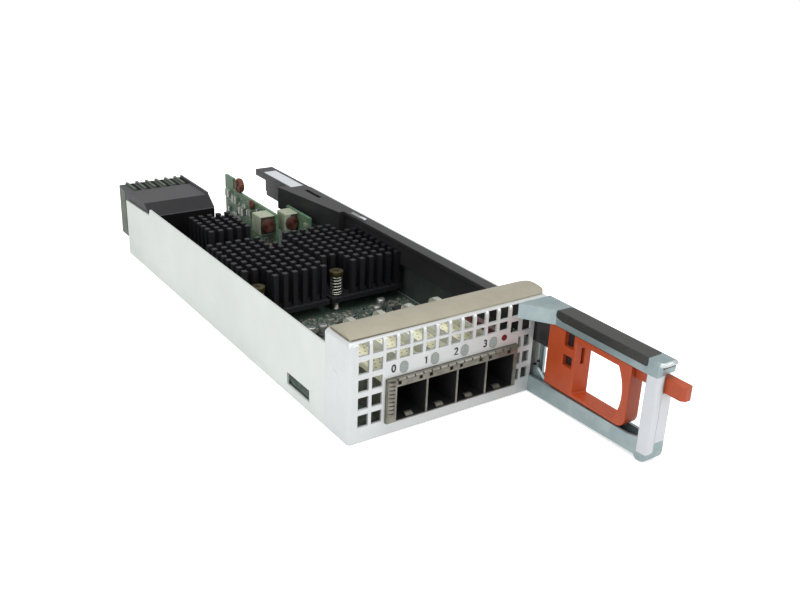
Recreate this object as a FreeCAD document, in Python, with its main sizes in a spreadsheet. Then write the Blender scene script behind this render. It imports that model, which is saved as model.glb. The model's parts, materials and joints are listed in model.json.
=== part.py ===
import FreeCAD, Part

import math
import os
import re

import Sketcher

# Four-port input/output module: an open sheet-metal tray with a circuit board, a perforated bezel and a pull
# handle whose sliding trigger works a latch bar.
# Frame: X to the right across the tray with 0 at its middle, Y to the rear with 0 on the bezel's front face,
# Z up with 0 on the underside of the tray. Lengths are in millimetres.

SIZES = {
    # tray
    "sheet": 1.0,
    "tray_width": 95.0,
    "tray_end": 235.0,
    "wall_drop": 6.6,
    "wall_step": 199.0,
    "wall_step_drop": 3.6,
    "wall_end_drop": 1.3,
    "wall_slant": 1.5,
    "window_start": 30.0,
    "window_length": 18.5,
    "window_low": 4.0,
    "window_high": 9.5,
    # bezel
    "latch_room": 6.0,
    "bezel_height": 42.0,
    "flange_depth": 17.5,
    "return_depth": 17.8,
    "bend_radius": 2.0,
    "corner_radius": 1.5,
    # vents in the bezel
    "vent_inset": 3.94,
    "vent_pitch": 6.03,
    "vent_width": 4.65,
    "vent_low": 6.6,
    "vent_height": 5.2,
    "vent_margin": 4.75,
    "vent_columns": 14,
    "vent_rows": 5,
    "side_columns": 2,
    "short_vent_drop": 10.6,
    "short_vent_height": 3.8,
    "narrow_vent_inset": 80.9,
    "narrow_vent_width": 1.7,
    "outer_vent_inset": 83.9,
    "outer_vent_width": 3.4,
    "low_rows": 3,
    # shielding gasket on the flange
    "gasket_start": 2.5,
    "gasket_end": 17.0,
    "gasket_edge": 0.7,
    "gasket_rise": 2.0,
    "gasket_inset": 1.5,
    "gasket_overhang": 1.2,
    "gasket_corner": 3.5,
    # circuit board
    "board_low": 3.6,
    "board_thickness": 1.6,
    "board_gap": 0.5,
    "board_front": 3.6,
    "board_end": 234.0,
    "board_tail": 11.0,
    "standoff_radius": 2.8,
    "board_screw_radius": 2.5,
    "board_screw_height": 1.6,
    # port cage
    "port_pitch": 14.6,
    "port_count": 4,
    "port_inset": 20.65,
    "port_width": 13.8,
    "port_top": 20.2,
    "cage_inset": 16.3,
    "cage_width": 63.7,
    "cage_top": 24.0,
    "cage_wall": 0.8,
    "cage_depth": 37.0,
    "cage_proud": 1.2,
    "cage_lip": 3.4,
    "cage_gap": 0.2,
    "cage_hole": 1.6,
    "cage_near_hole": 0.4,
    "cage_far_hole": 2.0,
    "receptacle_depth": 16.0,
    "receptacle_gap": 0.2,
    "socket_wall": 1.2,
    "tongue_thickness": 1.4,
    "tongue_width": 9.6,
    "tongue_length": 11.0,
    "finger_strip_width": 3.6,
    "finger_thickness": 0.4,
    "finger_slot": 0.8,
    "finger_strip_lift": 2.6,
    "finger_count": 5,
    # light pipes
    "lens_inset": 24.2,
    "lens_pitch": 14.4,
    "lens_level": 27.5,
    "lens_width": 3.7,
    "lens_height": 4.9,
    "lens_corner": 1.8,
    "lens_proud": 0.3,
    "pipe_width": 2.8,
    "pipe_thickness": 3.0,
    "pipe_leg": 41.3,
    "pipe_hump": 32.0,
    "fault_inset": 73.1,
    "fault_level": 28.2,
    "fault_radius": 1.3,
    "fault_hump": 30.0,
    "led_height": 1.2,
    "led_size": 3.2,
    # pin heat sinks
    "pin_pitch_across": 5.01,
    "pin_pitch_along": 5.5,
    "pin_width": 2.4,
    "pins_across": 8,
    "pins_along": 10,
    "sink_left": 11.4,
    "sink_right": 52.7,
    "sink_front": 100.2,
    "sink_base_low": 10.5,
    "sink_base": 2.5,
    "sink_margin": 1.3,
    "pin_top": 30.0,
    "notch_pins": 2,
    "big_chip": 35.0,
    "small_sink_left": 20.8,
    "small_sink_front": 169.0,
    "small_sink_pitch": 5.0,
    "small_pins_across": 5,
    "small_pins_along": 6,
    "small_sink_low": 9.5,
    "small_chip": 15.0,
    "small_pin_top": 29.6,
    # spring screws of the heat sinks
    "spring_screw_inset": 3.6,
    "screw_head_radius": 3.35,
    "screw_head_height": 2.3,
    "screw_top": 25.0,
    "screw_shaft_radius": 1.2,
    "screw_hole_radius": 1.6,
    "spring_radius": 3.0,
    "spring_wire": 0.7,
    # rear connector
    "connector_inset": 1.2,
    "connector_width": 36.8,
    "connector_front": 203.5,
    "connector_end": 248.5,
    "connector_shoulder": 211.0,
    "connector_slope": 5.4,
    "connector_overhang_low": 8.0,
    "wafer_count": 6,
    "wafer_pitch": 5.6,
    "wafer_inset": 3.8,
    "wafer_thickness": 1.4,
    "wafer_front": 235.0,
    "wafer_low": 12.0,
    "wafer_proud": 0.8,
    "key_width": 1.3,
    "key_height": 1.2,
    # side rail
    "rail_front": 17.0,
    "rail_end": 245.0,
    "rail_depth": 12.4,
    "rail_ledge": 6.0,
    "rail_skirt": 4.6,
    "rail_wall": 1.5,
    "rail_roof": 2.0,
    "rail_wide_start": 151.0,
    "rail_wide_ledge": 9.1,
    "rail_widest": 16.5,
    "rail_widest_at": 206.0,
    "rail_tail_ledge": 11.1,
    "rail_tail_start": 231.0,
    "rail_tail_depth": 3.6,
    "rail_slot_start": 178.0,
    "rail_slot_length": 16.0,
    "rail_slot_inset": 3.9,
    "rail_slot_width": 2.2,
    "clip_start": 133.0,
    "clip_length": 13.0,
    "clip_inset": 3.0,
    "clip_width": 2.0,
    "clip_thickness": 0.5,
    # power cards
    "card_thickness": 1.6,
    "card_inset": 63.0,
    "card_front": 180.0,
    "card_end": 244.5,
    "card_top": 28.5,
    "ear_length": 10.5,
    "ear_top": 34.8,
    "far_card_inset": 76.0,
    "far_card_front": 167.0,
    "far_card_end": 193.0,
    "far_card_top": 28.5,
    "inductor_width": 8.8,
    "inductor_length": 10.0,
    "inductor_height": 10.5,
    "inductor_low": 17.7,
    "inductor_front": 181.5,
    "far_inductor_width": 7.6,
    "far_inductor_front": 179.5,
    "winding_radius": 3.4,
    "winding_length": 1.6,
    "toroid_radius": 2.6,
    "toroid_tube": 1.3,
    "toroid_at": 227.0,
    "small_toroid_radius": 1.5,
    "small_toroid_tube": 0.8,
    "small_toroid_at": 208.0,
    "small_toroid_level": 26.4,
    # pull handle
    "handle_sheet": 1.2,
    "handle_inset": 6.6,
    "handle_reach": 67.5,
    "handle_flange": 6.5,
    "handle_low_flange": 7.3,
    "handle_low_lift": 0.7,
    "handle_neck": 9.2,
    "handle_neck_length": 5.5,
    "handle_joggle": 1.5,
    "handle_end_flange": 6.0,
    "handle_radius": 2.0,
    "handle_bend": 1.5,
    "handle_toe_radius": 4.0,
    "gusset_width": 9.0,
    "gusset_end": 12.7,
    "brace_length": 7.0,
    "brace_height": 3.6,
    "side_tab_length": 16.0,
    "side_tab_drop": 2.4,
    "rivet_radius": 1.2,
    "rivet_head_radius": 2.2,
    "rivet_head": 0.7,
    "rivet_gap": 0.1,
    "lip_height": 1.7,
    "lip_proud": 0.8,
    # trigger
    "slide_gap": 0.3,
    "trigger_back": 9.3,
    "trigger_setback": 13.5,
    "trigger_low": 8.4,
    "trigger_drop": 6.9,
    "trigger_corner": 4.2,
    "trigger_web": 4.7,
    "upper_rail_setback": 4.0,
    "lower_rail_setback": 8.0,
    "lower_rail_low": 2.9,
    "rail_run_in": 3.0,
    "grip_back": 25.0,
    "grip_rim": 4.0,
    "grip_bow": 2.6,
    "grip_slope": 1.6,
    "grip_low": 9.9,
    "grip_top_rim": 2.5,
    "slit_width": 1.6,
    "slit_low": 22.8,
    "slit_height": 7.0,
    "latch_window_front": 23.5,
    "latch_window_length": 5.2,
    "latch_window_drop": 6.5,
    "low_window_drop": 14.9,
    "latch_window_height": 4.9,
    "stem_width": 4.2,
    "stem_height": 6.0,
    "stem_rise": 0.6,
    "stem_room": 1.7,
    "stem_proud": 8.8,
    "stem_chamfer": 1.2,
    # latch bar
    "latch_height": 11.6,
    "latch_drop": 0.5,
    "latch_end": 16.6,
    "latch_tongue_drop": 3.2,
    "latch_tongue_thickness": 2.4,
    "latch_nose": 2.0,
    # return spring
    "return_spring_radius": 1.8,
    "return_spring_wire": 0.5,
    # board parts
    "part_height": 1.6,
    "can_radius": 2.1,
    "can_height": 5.4,
}

# Sizes that follow from the ones above
FOLLOWING = {
    "wall_height": "bezel_height - wall_drop",
    "bezel_width": "tray_width - latch_room",
    "vent_rise": "(bezel_height - vent_margin) / vent_rows",
    "short_vent_low": "bezel_height - short_vent_drop",
    "cage_low": "board_low + board_thickness",
    "connector_top": "wall_height",
    "connector_shoulder_low": "connector_top - connector_slope",
    "rail_low": "wall_height - rail_depth",
    "rail_tail_low": "wall_height - rail_tail_depth",
    "handle_left": "tray_width - handle_inset",
    "gusset_start": "handle_left - gusset_width",
    "side_tab_height": "wall_height - side_tab_drop",
    "trigger_front": "handle_reach - trigger_setback",
    "trigger_top": "bezel_height - trigger_drop",
    "upper_rail_front": "trigger_front - upper_rail_setback",
    "lower_rail_front": "trigger_front - lower_rail_setback",
    "grip_front": "trigger_front - grip_rim",
    "grip_top": "trigger_top - grip_top_rim",
    "latch_window_high": "trigger_top - latch_window_drop",
    "latch_window_low": "trigger_top - low_window_drop",
    "stem_reach": "handle_reach + stem_proud",
    "latch_top": "trigger_top - latch_drop",
    "latch_low": "latch_top - latch_height",
    "latch_tongue_low": "latch_low - latch_tongue_drop",
}

# Places across the tray are read on a tray of this width, and spread with it on a wider or narrower one.
LAYOUT_WIDTH = 95.0

# Packages and cans on the circuit board, as (inset, depth, width, length) and (inset, depth)
BOARD_CHIPS = (
    (10.0, 50.0, 9.0, 9.0), (27.0, 56.0, 12.0, 12.0), (47.0, 52.0, 7.0, 10.0), (60.0, 66.0, 13.0, 9.0),
    (76.0, 50.0, 6.0, 8.0), (9.0, 74.0, 6.0, 8.0), (46.0, 80.0, 8.0, 6.0), (78.0, 78.0, 7.0, 10.0),
    (6.5, 172.0, 7.0, 9.0), (52.0, 205.0, 9.0, 7.0), (54.0, 166.0, 7.0, 7.0),
)
BOARD_CANS = (
    (23.0, 80.0), (29.0, 80.0), (35.0, 80.0), (68.0, 86.0), (74.0, 92.0), (48.0, 176.0), (48.0, 184.0),
)

doc = FreeCAD.newDocument("io_module")
sheet = doc.addObject("Spreadsheet::Sheet", "Sizes")
formulas = {alias: f"={formula}" for alias, formula in FOLLOWING.items()}
for row, (alias, size) in enumerate({**SIZES, **formulas}.items(), start=1):
    sheet.set(f"A{row}", alias)
    sheet.set(f"B{row}", str(size))
    sheet.setAlias(f"B{row}", alias)
doc.recompute()

ALIAS = re.compile(r"\b(" + "|".join([*SIZES, *FOLLOWING]) + r")\b")
PLANES = {"x": "YZ_Plane", "y": "XZ_Plane", "z": "XY_Plane"}
# The XZ plane of a body faces the front, so a depth to the rear is negative along its normal.
FACING = {"x": 1, "y": -1, "z": 1}
TILTS = {
    "x": FreeCAD.Rotation(FreeCAD.Vector(0, 1, 0), 90),
    "y": FreeCAD.Rotation(FreeCAD.Vector(1, 0, 0), -90),
    "z": FreeCAD.Rotation(),
}


def linked(text):
    return ALIAS.sub(r"Sizes.\1", text)


def bind(item, prop, text):
    item.setExpression(prop, linked(text))


def number(text):
    return float(sheet.evalExpression(linked(text)))


# Sketches and features


def attached(body, name, axis, start):
    """A sketch on one of the body's own origin planes, moved along its axis to start."""
    sketch = body.newObject("Sketcher::SketchObject", name)
    plane = next(item for item in body.Origin.OriginFeatures if item.Role == PLANES[axis])
    sketch.AttachmentSupport = [(plane, "")]
    sketch.MapMode = "FlatFace"
    bind(sketch, "AttachmentOffset.Base.z", f"{FACING[axis]} * ({start})")
    return sketch


def fix(sketch, geometry, position, u, v):
    across = sketch.addConstraint(Sketcher.Constraint("DistanceX", -1, 1, geometry, position, number(u)))
    bind(sketch, f"Constraints[{across}]", u)
    up = sketch.addConstraint(Sketcher.Constraint("DistanceY", -1, 1, geometry, position, number(v)))
    bind(sketch, f"Constraints[{up}]", v)


def point(sketch, geometry, position):
    return sketch.getPoint(geometry, position)


def arc_ends(sketch, arc, first):
    """The two positions of an arc, the one that lies at first named first."""
    return (1, 2) if point(sketch, arc, 1).isEqual(first, 1e-4) else (2, 1)


def outline(sketch, corners):
    """A closed outline. A corner is (u, v), (u, v, radius) when rounded, or (u, v, (via_u, via_v)) when the
    edge that leaves it is an arc through that point."""
    places = [FreeCAD.Vector(number(corner[0]), number(corner[1]), 0) for corner in corners]
    count = len(corners)
    arrivals, departures, arcs = [], [], {}
    for index, corner in enumerate(corners):
        here = places[index]
        if len(corner) == 3 and isinstance(corner[2], str):
            backward = (places[index - 1] - here).normalize()
            forward = (places[(index + 1) % count] - here).normalize()
            half = backward.getAngle(forward) / 2
            radius = number(corner[2])
            setback = radius / math.tan(half)
            arrivals.append(here + backward * setback)
            departures.append(here + forward * setback)
            bisector = (backward + forward).normalize()
            arcs[index] = here + bisector * (radius / math.sin(half) - radius)
        else:
            arrivals.append(here)
            departures.append(here)
    edges = []
    for index, corner in enumerate(corners):
        start = departures[index]
        end = arrivals[(index + 1) % count]
        if len(corner) == 3 and not isinstance(corner[2], str):
            via = FreeCAD.Vector(number(corner[2][0]), number(corner[2][1]), 0)
            edge = sketch.addGeometry(Part.Arc(start, via, end))
            edges.append((edge, *arc_ends(sketch, edge, start)))
            mark = sketch.addGeometry(Part.Point(via), True)
            fix(sketch, mark, 1, *corner[2])
            sketch.addConstraint(Sketcher.Constraint("PointOnObject", mark, 1, edge))
        else:
            edge = sketch.addGeometry(Part.LineSegment(start, end))
            edges.append((edge, 1, 2))
    for index, corner in enumerate(corners):
        before, _, before_end = edges[index - 1]
        after, after_start, _ = edges[index]
        if index in arcs:
            arc = sketch.addGeometry(Part.Arc(arrivals[index], arcs[index], departures[index]))
            first, last = arc_ends(sketch, arc, arrivals[index])
            mark = sketch.addGeometry(Part.Point(places[index]), True)
            sketch.addConstraint(Sketcher.Constraint("Tangent", before, before_end, arc, first))
            sketch.addConstraint(Sketcher.Constraint("Tangent", arc, last, after, after_start))
            sketch.addConstraint(Sketcher.Constraint("PointOnObject", mark, 1, before))
            sketch.addConstraint(Sketcher.Constraint("PointOnObject", mark, 1, after))
            bend = sketch.addConstraint(Sketcher.Constraint("Radius", arc, number(corner[2])))
            bind(sketch, f"Constraints[{bend}]", corner[2])
            fix(sketch, mark, 1, corner[0], corner[1])
        else:
            sketch.addConstraint(Sketcher.Constraint("Coincident", before, before_end, after, after_start))
            fix(sketch, after, after_start, corner[0], corner[1])


def disc(sketch, u, v, radius):
    circle = sketch.addGeometry(Part.Circle(FreeCAD.Vector(number(u), number(v), 0), FreeCAD.Vector(0, 0, 1),
                                            number(radius)))
    fix(sketch, circle, 3, u, v)
    size = sketch.addConstraint(Sketcher.Constraint("Radius", circle, number(radius)))
    bind(sketch, f"Constraints[{size}]", radius)


def rectangle(left, right, low, high, radius=None):
    corners = [(left, low), (right, low), (right, high), (left, high)]
    return [corner + (radius,) for corner in corners] if radius else corners


def feature(body, kind, name, axis, start, length, shapes):
    sketch = attached(body, f"{name}_sketch", axis, start)
    for shape in shapes:
        if isinstance(shape, list):
            outline(sketch, shape)
        else:
            disc(sketch, *shape)
    item = body.newObject(kind, name)
    item.Profile = sketch
    bind(item, "Length", length)
    return item


def pad(body, name, axis, start, length, *shapes):
    """Adds the outlines, drawn at start, over length towards the axis's positive end."""
    item = feature(body, "PartDesign::Pad", name, axis, start, length, shapes)
    item.Reversed = FACING[axis] < 0
    return item


def pocket(body, name, axis, start, length, *shapes):
    """Cuts the outlines, drawn at start, over length towards the axis's positive end."""
    item = feature(body, "PartDesign::Pocket", name, axis, start, length, shapes)
    item.Reversed = FACING[axis] > 0
    return item


def repeat(body, name, original, axis, pitch, count):
    """Repeats a feature along an axis. A pitch across the tray spreads with its width."""
    item = body.newObject("PartDesign::LinearPattern", name)
    item.Originals = [original]
    line = next(entry for entry in body.Origin.OriginFeatures if entry.Role == f"{axis.upper()}_Axis")
    item.Direction = (line, [""])
    item.Mode = "Spacing"
    bind(item, "Offset", across(pitch) if axis == "x" else pitch)
    bind(item, "Occurrences", count)
    body.Tip = item


def edges_along(shape, axis, places):
    """Names of the straight edges parallel to axis that pass through the given places."""
    index = "xyz".index(axis)
    others = [other for other in range(3) if other != index]
    wanted = [tuple(number(text) for text in place) for place in places]
    found = []
    for order, edge in enumerate(shape.Edges, start=1):
        centre = edge.CenterOfMass
        spread = [edge.BoundBox.XLength, edge.BoundBox.YLength, edge.BoundBox.ZLength]
        at = [(centre.x, centre.y, centre.z)[other] for other in others]
        flat = all(spread[other] < 1e-6 for other in others)
        if flat and any(math.dist(at, place) < 1e-3 for place in wanted):
            found.append(f"Edge{order}")
    return found


def dressed(body, kind, name, size, axis, places):
    """A fillet or chamfer on the edges parallel to axis at the given places, and on what runs on smoothly."""
    doc.recompute()
    base = body.Tip
    item = body.newObject(kind, name)
    item.Base = (base, edges_along(base.Shape, axis, places))
    bind(item, "Radius" if kind.endswith("Fillet") else "Size", size)
    return item


def new_body(name):
    body = doc.addObject("PartDesign::Body", name)
    nodes[name] = body
    return body


# Primitives and groups


def block(name, left, right, front, back, low, high):
    item = doc.addObject("Part::Box", name)
    for prop, near, far in (("Length", left, right), ("Width", front, back), ("Height", low, high)):
        bind(item, prop, f"({far}) - ({near})")
    for key, near in (("x", left), ("y", front), ("z", low)):
        bind(item, f"Placement.Base.{key}", near)
    return item


def rod(name, axis, place, radius, length):
    """A cylinder whose base centre is place, reaching length towards the axis's positive end."""
    item = doc.addObject("Part::Cylinder", name)
    item.Placement = FreeCAD.Placement(FreeCAD.Vector(), TILTS[axis])
    bind(item, "Radius", radius)
    bind(item, "Height", length)
    for key, text in zip("xyz", place):
        bind(item, f"Placement.Base.{key}", text)
    return item


def prism(name, axis, place, radius, length, sides=12):
    """A bar with flat sides whose base centre is place, reaching length towards the axis's positive end. Small
    round parts that repeat have twelve sides, which keeps their facets few."""
    item = doc.addObject("Part::Prism", name)
    item.Placement = FreeCAD.Placement(FreeCAD.Vector(), TILTS[axis])
    item.Polygon = sides
    bind(item, "Circumradius", radius)
    bind(item, "Height", length)
    for key, text in zip("xyz", place):
        bind(item, f"Placement.Base.{key}", text)
    return item


def cut(name, base, tools):
    item = doc.addObject("Part::Cut", name)
    item.Base = base
    item.Tool = tools[0] if len(tools) == 1 else joined(f"{name}_tools", tools)
    return item


def joined(name, pieces):
    item = doc.addObject("Part::MultiFuse", name)
    item.Shapes = pieces
    return item


def grouped(name, pieces):
    """Separate solids that share one node."""
    item = doc.addObject("Part::Compound", name)
    item.Links = pieces
    nodes[name] = item
    return item


nodes = {}

# Places that several pieces share
LEFT = "-tray_width / 2"
RIGHT = "tray_width / 2"
INNER_LEFT = "-tray_width / 2 + sheet"
INNER_RIGHT = "tray_width / 2 - sheet"
BOARD_TOP = "board_low + board_thickness"
BEZEL_RIGHT = "bezel_width - tray_width / 2"
HANDLE_LEFT = "handle_left - tray_width / 2"
HANDLE_INNER_LEFT = f"{HANDLE_LEFT} + handle_sheet"
HANDLE_INNER_RIGHT = RIGHT
HANDLE_RIGHT = "tray_width / 2 + handle_sheet"
HANDLE_MIDDLE = f"({HANDLE_INNER_LEFT} + {HANDLE_INNER_RIGHT}) / 2"
BOARD_SCREW_DEPTHS = (
    "return_depth + standoff_radius + sheet",
    "sink_front + pins_along * pin_pitch_along + standoff_radius",
)
REAR_SCREW_DEPTH = "board_end - 2 * standoff_radius"


def across(text):
    """A distance across the tray that spreads with the tray's width."""
    return f"({text}) * tray_width / {LAYOUT_WIDTH}"


def from_left(text):
    """A place across the tray, given as a distance from its outer left face."""
    return f"{across(text)} - tray_width / 2"


# Two rivets through the handle's side tab and the tray's right wall, as (depth, height)
RIVET_PLACES = [
    ("side_tab_length / 2", "side_tab_height / 4"),
    ("side_tab_length / 2", "3 * side_tab_height / 4"),
]

# Tray and bezel


def build_tray():
    body = new_body("tray")
    pad(body, "folded_sheet", "y", "sheet", "tray_end - sheet", [
        (LEFT, "0"), (RIGHT, "0"), (RIGHT, "wall_height"), (INNER_RIGHT, "wall_height"),
        (INNER_RIGHT, "sheet"), (INNER_LEFT, "sheet"), (INNER_LEFT, "wall_height"), (LEFT, "wall_height"),
    ])
    pocket(body, "room_for_bezel_return", "z", "0", "wall_height",
           rectangle(LEFT, INNER_LEFT, "sheet", "return_depth"))
    pocket(body, "rear_step", "x", LEFT, "tray_width", [
        ("wall_step", "wall_height"),
        ("wall_step + wall_slant", "wall_height - wall_step_drop"),
        ("tray_end", "wall_height - wall_step_drop - wall_end_drop"),
        ("tray_end + sheet", "wall_height - wall_step_drop - wall_end_drop"),
        ("tray_end + sheet", "wall_height"),
    ])
    pocket(body, "side_window", "x", LEFT, "sheet",
           rectangle("window_start", "window_start + window_length", "window_low", "window_high"))
    rivets = [(row, height, "rivet_radius + rivet_gap") for row, height in RIVET_PLACES]
    pocket(body, "rivet_holes", "x", INNER_RIGHT, "sheet", *rivets)


def build_bezel():
    body = new_body("front_bezel")
    pad(body, "plate_and_flange", "x", LEFT, "tray_width", [
        ("0", "0"), ("sheet", "0"), ("sheet", "bezel_height - sheet", "bend_radius - sheet"),
        ("flange_depth", "bezel_height - sheet"), ("flange_depth", "bezel_height"),
        ("0", "bezel_height", "bend_radius"),
    ])
    pocket(body, "room_for_latch", "y", "-sheet", "3 * sheet",
           rectangle(BEZEL_RIGHT, RIGHT, "0", "bezel_height - sheet"))
    pad(body, "left_return", "x", LEFT, "sheet",
        rectangle("sheet", "return_depth", "0", "bezel_height - sheet"))
    dressed(body, "PartDesign::Fillet", "left_bend", "corner_radius", "z", [(LEFT, "0")])
    face = ("y", "0", "bend_radius - sheet / 2")
    for column in range(int(number("side_columns"))):
        inset = f"vent_inset + {column} * vent_pitch"
        first = pocket(body, f"side_vent_{column}", *face, rectangle(
            from_left(inset), from_left(f"{inset} + vent_width"), "vent_low", "vent_low + vent_height"))
        repeat(body, f"side_vents_{column}", first, "z", "vent_rise", "vent_rows - 1")
    middle = "vent_inset + side_columns * vent_pitch"
    top_row = "vent_low + (vent_rows - 1) * vent_rise"
    first = pocket(body, "top_vent", *face, rectangle(
        from_left("vent_inset"), from_left("vent_inset + vent_width"), top_row, f"{top_row} + vent_height"))
    repeat(body, "top_vents", first, "x", "vent_pitch", "vent_columns")
    first = pocket(body, "short_vent", *face, rectangle(
        from_left(middle), from_left(f"{middle} + vent_width"),
        "short_vent_low", "short_vent_low + short_vent_height"))
    repeat(body, "short_vents", first, "x", "vent_pitch", "vent_columns - 2 * side_columns")
    far = "vent_inset + (vent_columns - side_columns) * vent_pitch"
    second_row = f"{top_row} - vent_rise"
    first = pocket(body, "far_vent", *face, rectangle(
        from_left(far), from_left(f"{far} + vent_width"), second_row, f"{second_row} + vent_height"))
    repeat(body, "far_vents", first, "x", "vent_pitch", "side_columns")
    for name in ("narrow", "outer"):
        near = f"{name}_vent_inset"
        first = pocket(body, f"{name}_vent", *face, rectangle(
            from_left(near), from_left(f"{near} + {name}_vent_width"), "vent_low", "vent_low + vent_height"))
        repeat(body, f"{name}_vents", first, "z", "vent_rise", "low_rows")
    pocket(body, "cage_window", *face, rectangle(
        from_left("cage_inset - cage_gap"), from_left("cage_inset + cage_width + cage_gap"),
        "cage_low - cage_gap", "cage_top + cage_gap"))
    first = pocket(body, "lens_hole", *face, rectangle(
        from_left("lens_inset - lens_width / 2"), from_left("lens_inset + lens_width / 2"),
        "lens_level - lens_height / 2", "lens_level + lens_height / 2", "lens_corner"))
    repeat(body, "lens_holes", first, "x", "lens_pitch", "port_count")
    pocket(body, "fault_hole", *face, (from_left("fault_inset"), "fault_level", "fault_radius"))


def build_gasket():
    body = new_body("emi_gasket")
    edge = "bezel_height + gasket_edge"
    pad(body, "strip", "x", f"{LEFT} + gasket_inset", "tray_width - gasket_inset + gasket_overhang", [
        ("gasket_start", "bezel_height"), ("gasket_end", "bezel_height"),
        ("gasket_end", edge, ("(gasket_start + gasket_end) / 2", "bezel_height + gasket_rise")),
        ("gasket_start", edge),
    ])
    tip = f"{RIGHT} + gasket_overhang"
    inset = "(1 - sqrt(2) / 2) * gasket_corner"
    for name, side, inward in (("front", "gasket_start", "+"), ("rear", "gasket_end", "-")):
        outward = "-" if inward == "+" else "+"
        pocket(body, f"{name}_corner", "z", "bezel_height", "gasket_rise", [
            (f"{tip} - gasket_corner", side, (f"{tip} - {inset}", f"{side} {inward} {inset}")),
            (tip, f"{side} {inward} gasket_corner"),
            (f"{tip} + gasket_corner", f"{side} {outward} gasket_corner"),
        ])


# Circuit board


def build_board():
    body = new_body("circuit_board")
    pad(body, "laminate", "z", "board_low", "board_thickness", rectangle(
        f"{INNER_LEFT} + board_gap", f"{INNER_RIGHT} - board_gap", "board_front", "board_end"))
    pad(body, "tail", "z", "board_low", "board_thickness", rectangle(
        f"{from_left('connector_inset + connector_width')} + board_gap", f"{INNER_RIGHT} - board_gap",
        "board_end", "board_end + board_tail"))
    near = f"{INNER_LEFT} + board_gap + standoff_radius + board_gap"
    far = f"{INNER_RIGHT} - board_gap - standoff_radius - board_gap"
    places = [(side, depth) for depth in BOARD_SCREW_DEPTHS for side in (near, far)]
    places.append((from_left("card_inset - 2 * inductor_width"), REAR_SCREW_DEPTH))
    places.append((far, REAR_SCREW_DEPTH))
    standoffs = []
    screws = []
    for order, (side, depth) in enumerate(places):
        standoffs.append(prism(f"standoff_{order}", "z", (side, depth, "sheet"), "standoff_radius",
                               "board_low - sheet", 6))
        screws.append(prism(f"screw_{order}", "z", (side, depth, BOARD_TOP), "board_screw_radius",
                            "board_screw_height"))
    grouped("board_standoffs", standoffs)
    grouped("board_screws", screws)


def build_board_parts():
    chips = []
    for order, (inset, depth, width, length) in enumerate(BOARD_CHIPS):
        chips.append(block(f"package_{order}", from_left(f"{inset}"), from_left(f"{inset} + {width}"),
                           f"{depth}", f"{depth} + {length}", BOARD_TOP, f"{BOARD_TOP} + part_height"))
    grouped("board_chips", chips)
    grouped("board_capacitors", [
        prism(f"can_{order}", "z", (from_left(f"{inset}"), f"{depth}", BOARD_TOP), "can_radius", "can_height")
        for order, (inset, depth) in enumerate(BOARD_CANS)])


# Ports


def build_cage():
    body = new_body("port_cage")
    near = from_left("cage_inset")
    far = from_left("cage_inset + cage_width")
    pad(body, "tunnels", "z", BOARD_TOP, f"port_top + cage_wall - ({BOARD_TOP})", rectangle(
        near, far, "-cage_proud", "cage_depth"))
    pad(body, "front_frame", "y", "-cage_proud", "cage_lip", rectangle(near, far, "cage_low", "cage_top"))
    first = pocket(body, "port", "y", "-cage_proud", "cage_depth + cage_proud - cage_wall", rectangle(
        from_left("port_inset"), from_left("port_inset + port_width"), f"{BOARD_TOP} + cage_wall / 2",
        "port_top"))
    repeat(body, "ports", first, "x", "port_pitch", "port_count")
    near_hole = "port_inset + cage_near_hole"
    far_hole = "port_inset + port_width - cage_far_hole - cage_hole"
    hole_low = "port_top + cage_wall"
    first = pocket(body, "frame_hole_pair", "y", "-cage_proud", "cage_lip", *(
        rectangle(from_left(side), from_left(f"{side} + cage_hole"), hole_low, f"{hole_low} + cage_hole")
        for side in (near_hole, far_hole)))
    repeat(body, "frame_holes", first, "x", "port_pitch", "port_count")


def build_receptacle(order):
    body = new_body(f"port_receptacle_{order}")
    near = f"port_inset + {order} * port_pitch + receptacle_gap"
    far = f"port_inset + {order} * port_pitch + port_width - receptacle_gap"
    low = f"{BOARD_TOP} + cage_wall / 2"
    high = "port_top - receptacle_gap"
    back = "cage_depth - cage_wall"
    front = f"{back} - receptacle_depth"
    pad(body, "housing", "y", front, "receptacle_depth",
        rectangle(from_left(near), from_left(far), low, high))
    pocket(body, "mouth", "y", front, "tongue_length", rectangle(
        from_left(f"{near} + socket_wall"), from_left(f"{far} - socket_wall"), f"{low} + socket_wall",
        f"{high} - socket_wall"))
    centre = f"({near} + {far}) / 2"
    level = f"({low} + {high}) / 2"
    pad(body, "tongue", "y", front, "tongue_length", rectangle(
        from_left(f"{centre} - tongue_width / 2"), from_left(f"{centre} + tongue_width / 2"),
        f"{level} - tongue_thickness / 2", f"{level} + tongue_thickness / 2"))


def build_finger_strip():
    body = new_body("cage_spring_strip")
    low = "cage_low + finger_strip_lift"
    high = "cage_top - finger_slot"
    near = from_left("cage_inset + finger_thickness")
    far = from_left("cage_inset + finger_thickness + finger_strip_width")
    pad(body, "strip", "y", "-cage_proud - finger_thickness", "finger_thickness",
        rectangle(near, far, low, high))
    pitch = f"({high} - ({low})) / finger_count"
    first = pocket(body, "slot", "y", "-cage_proud - finger_thickness", "finger_thickness", rectangle(
        from_left("cage_inset + finger_thickness + finger_slot"), far, f"{low} + {pitch} - finger_slot / 2",
        f"{low} + {pitch} + finger_slot / 2"))
    repeat(body, "slots", first, "z", pitch, "finger_count - 1")


# Light pipes


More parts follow.
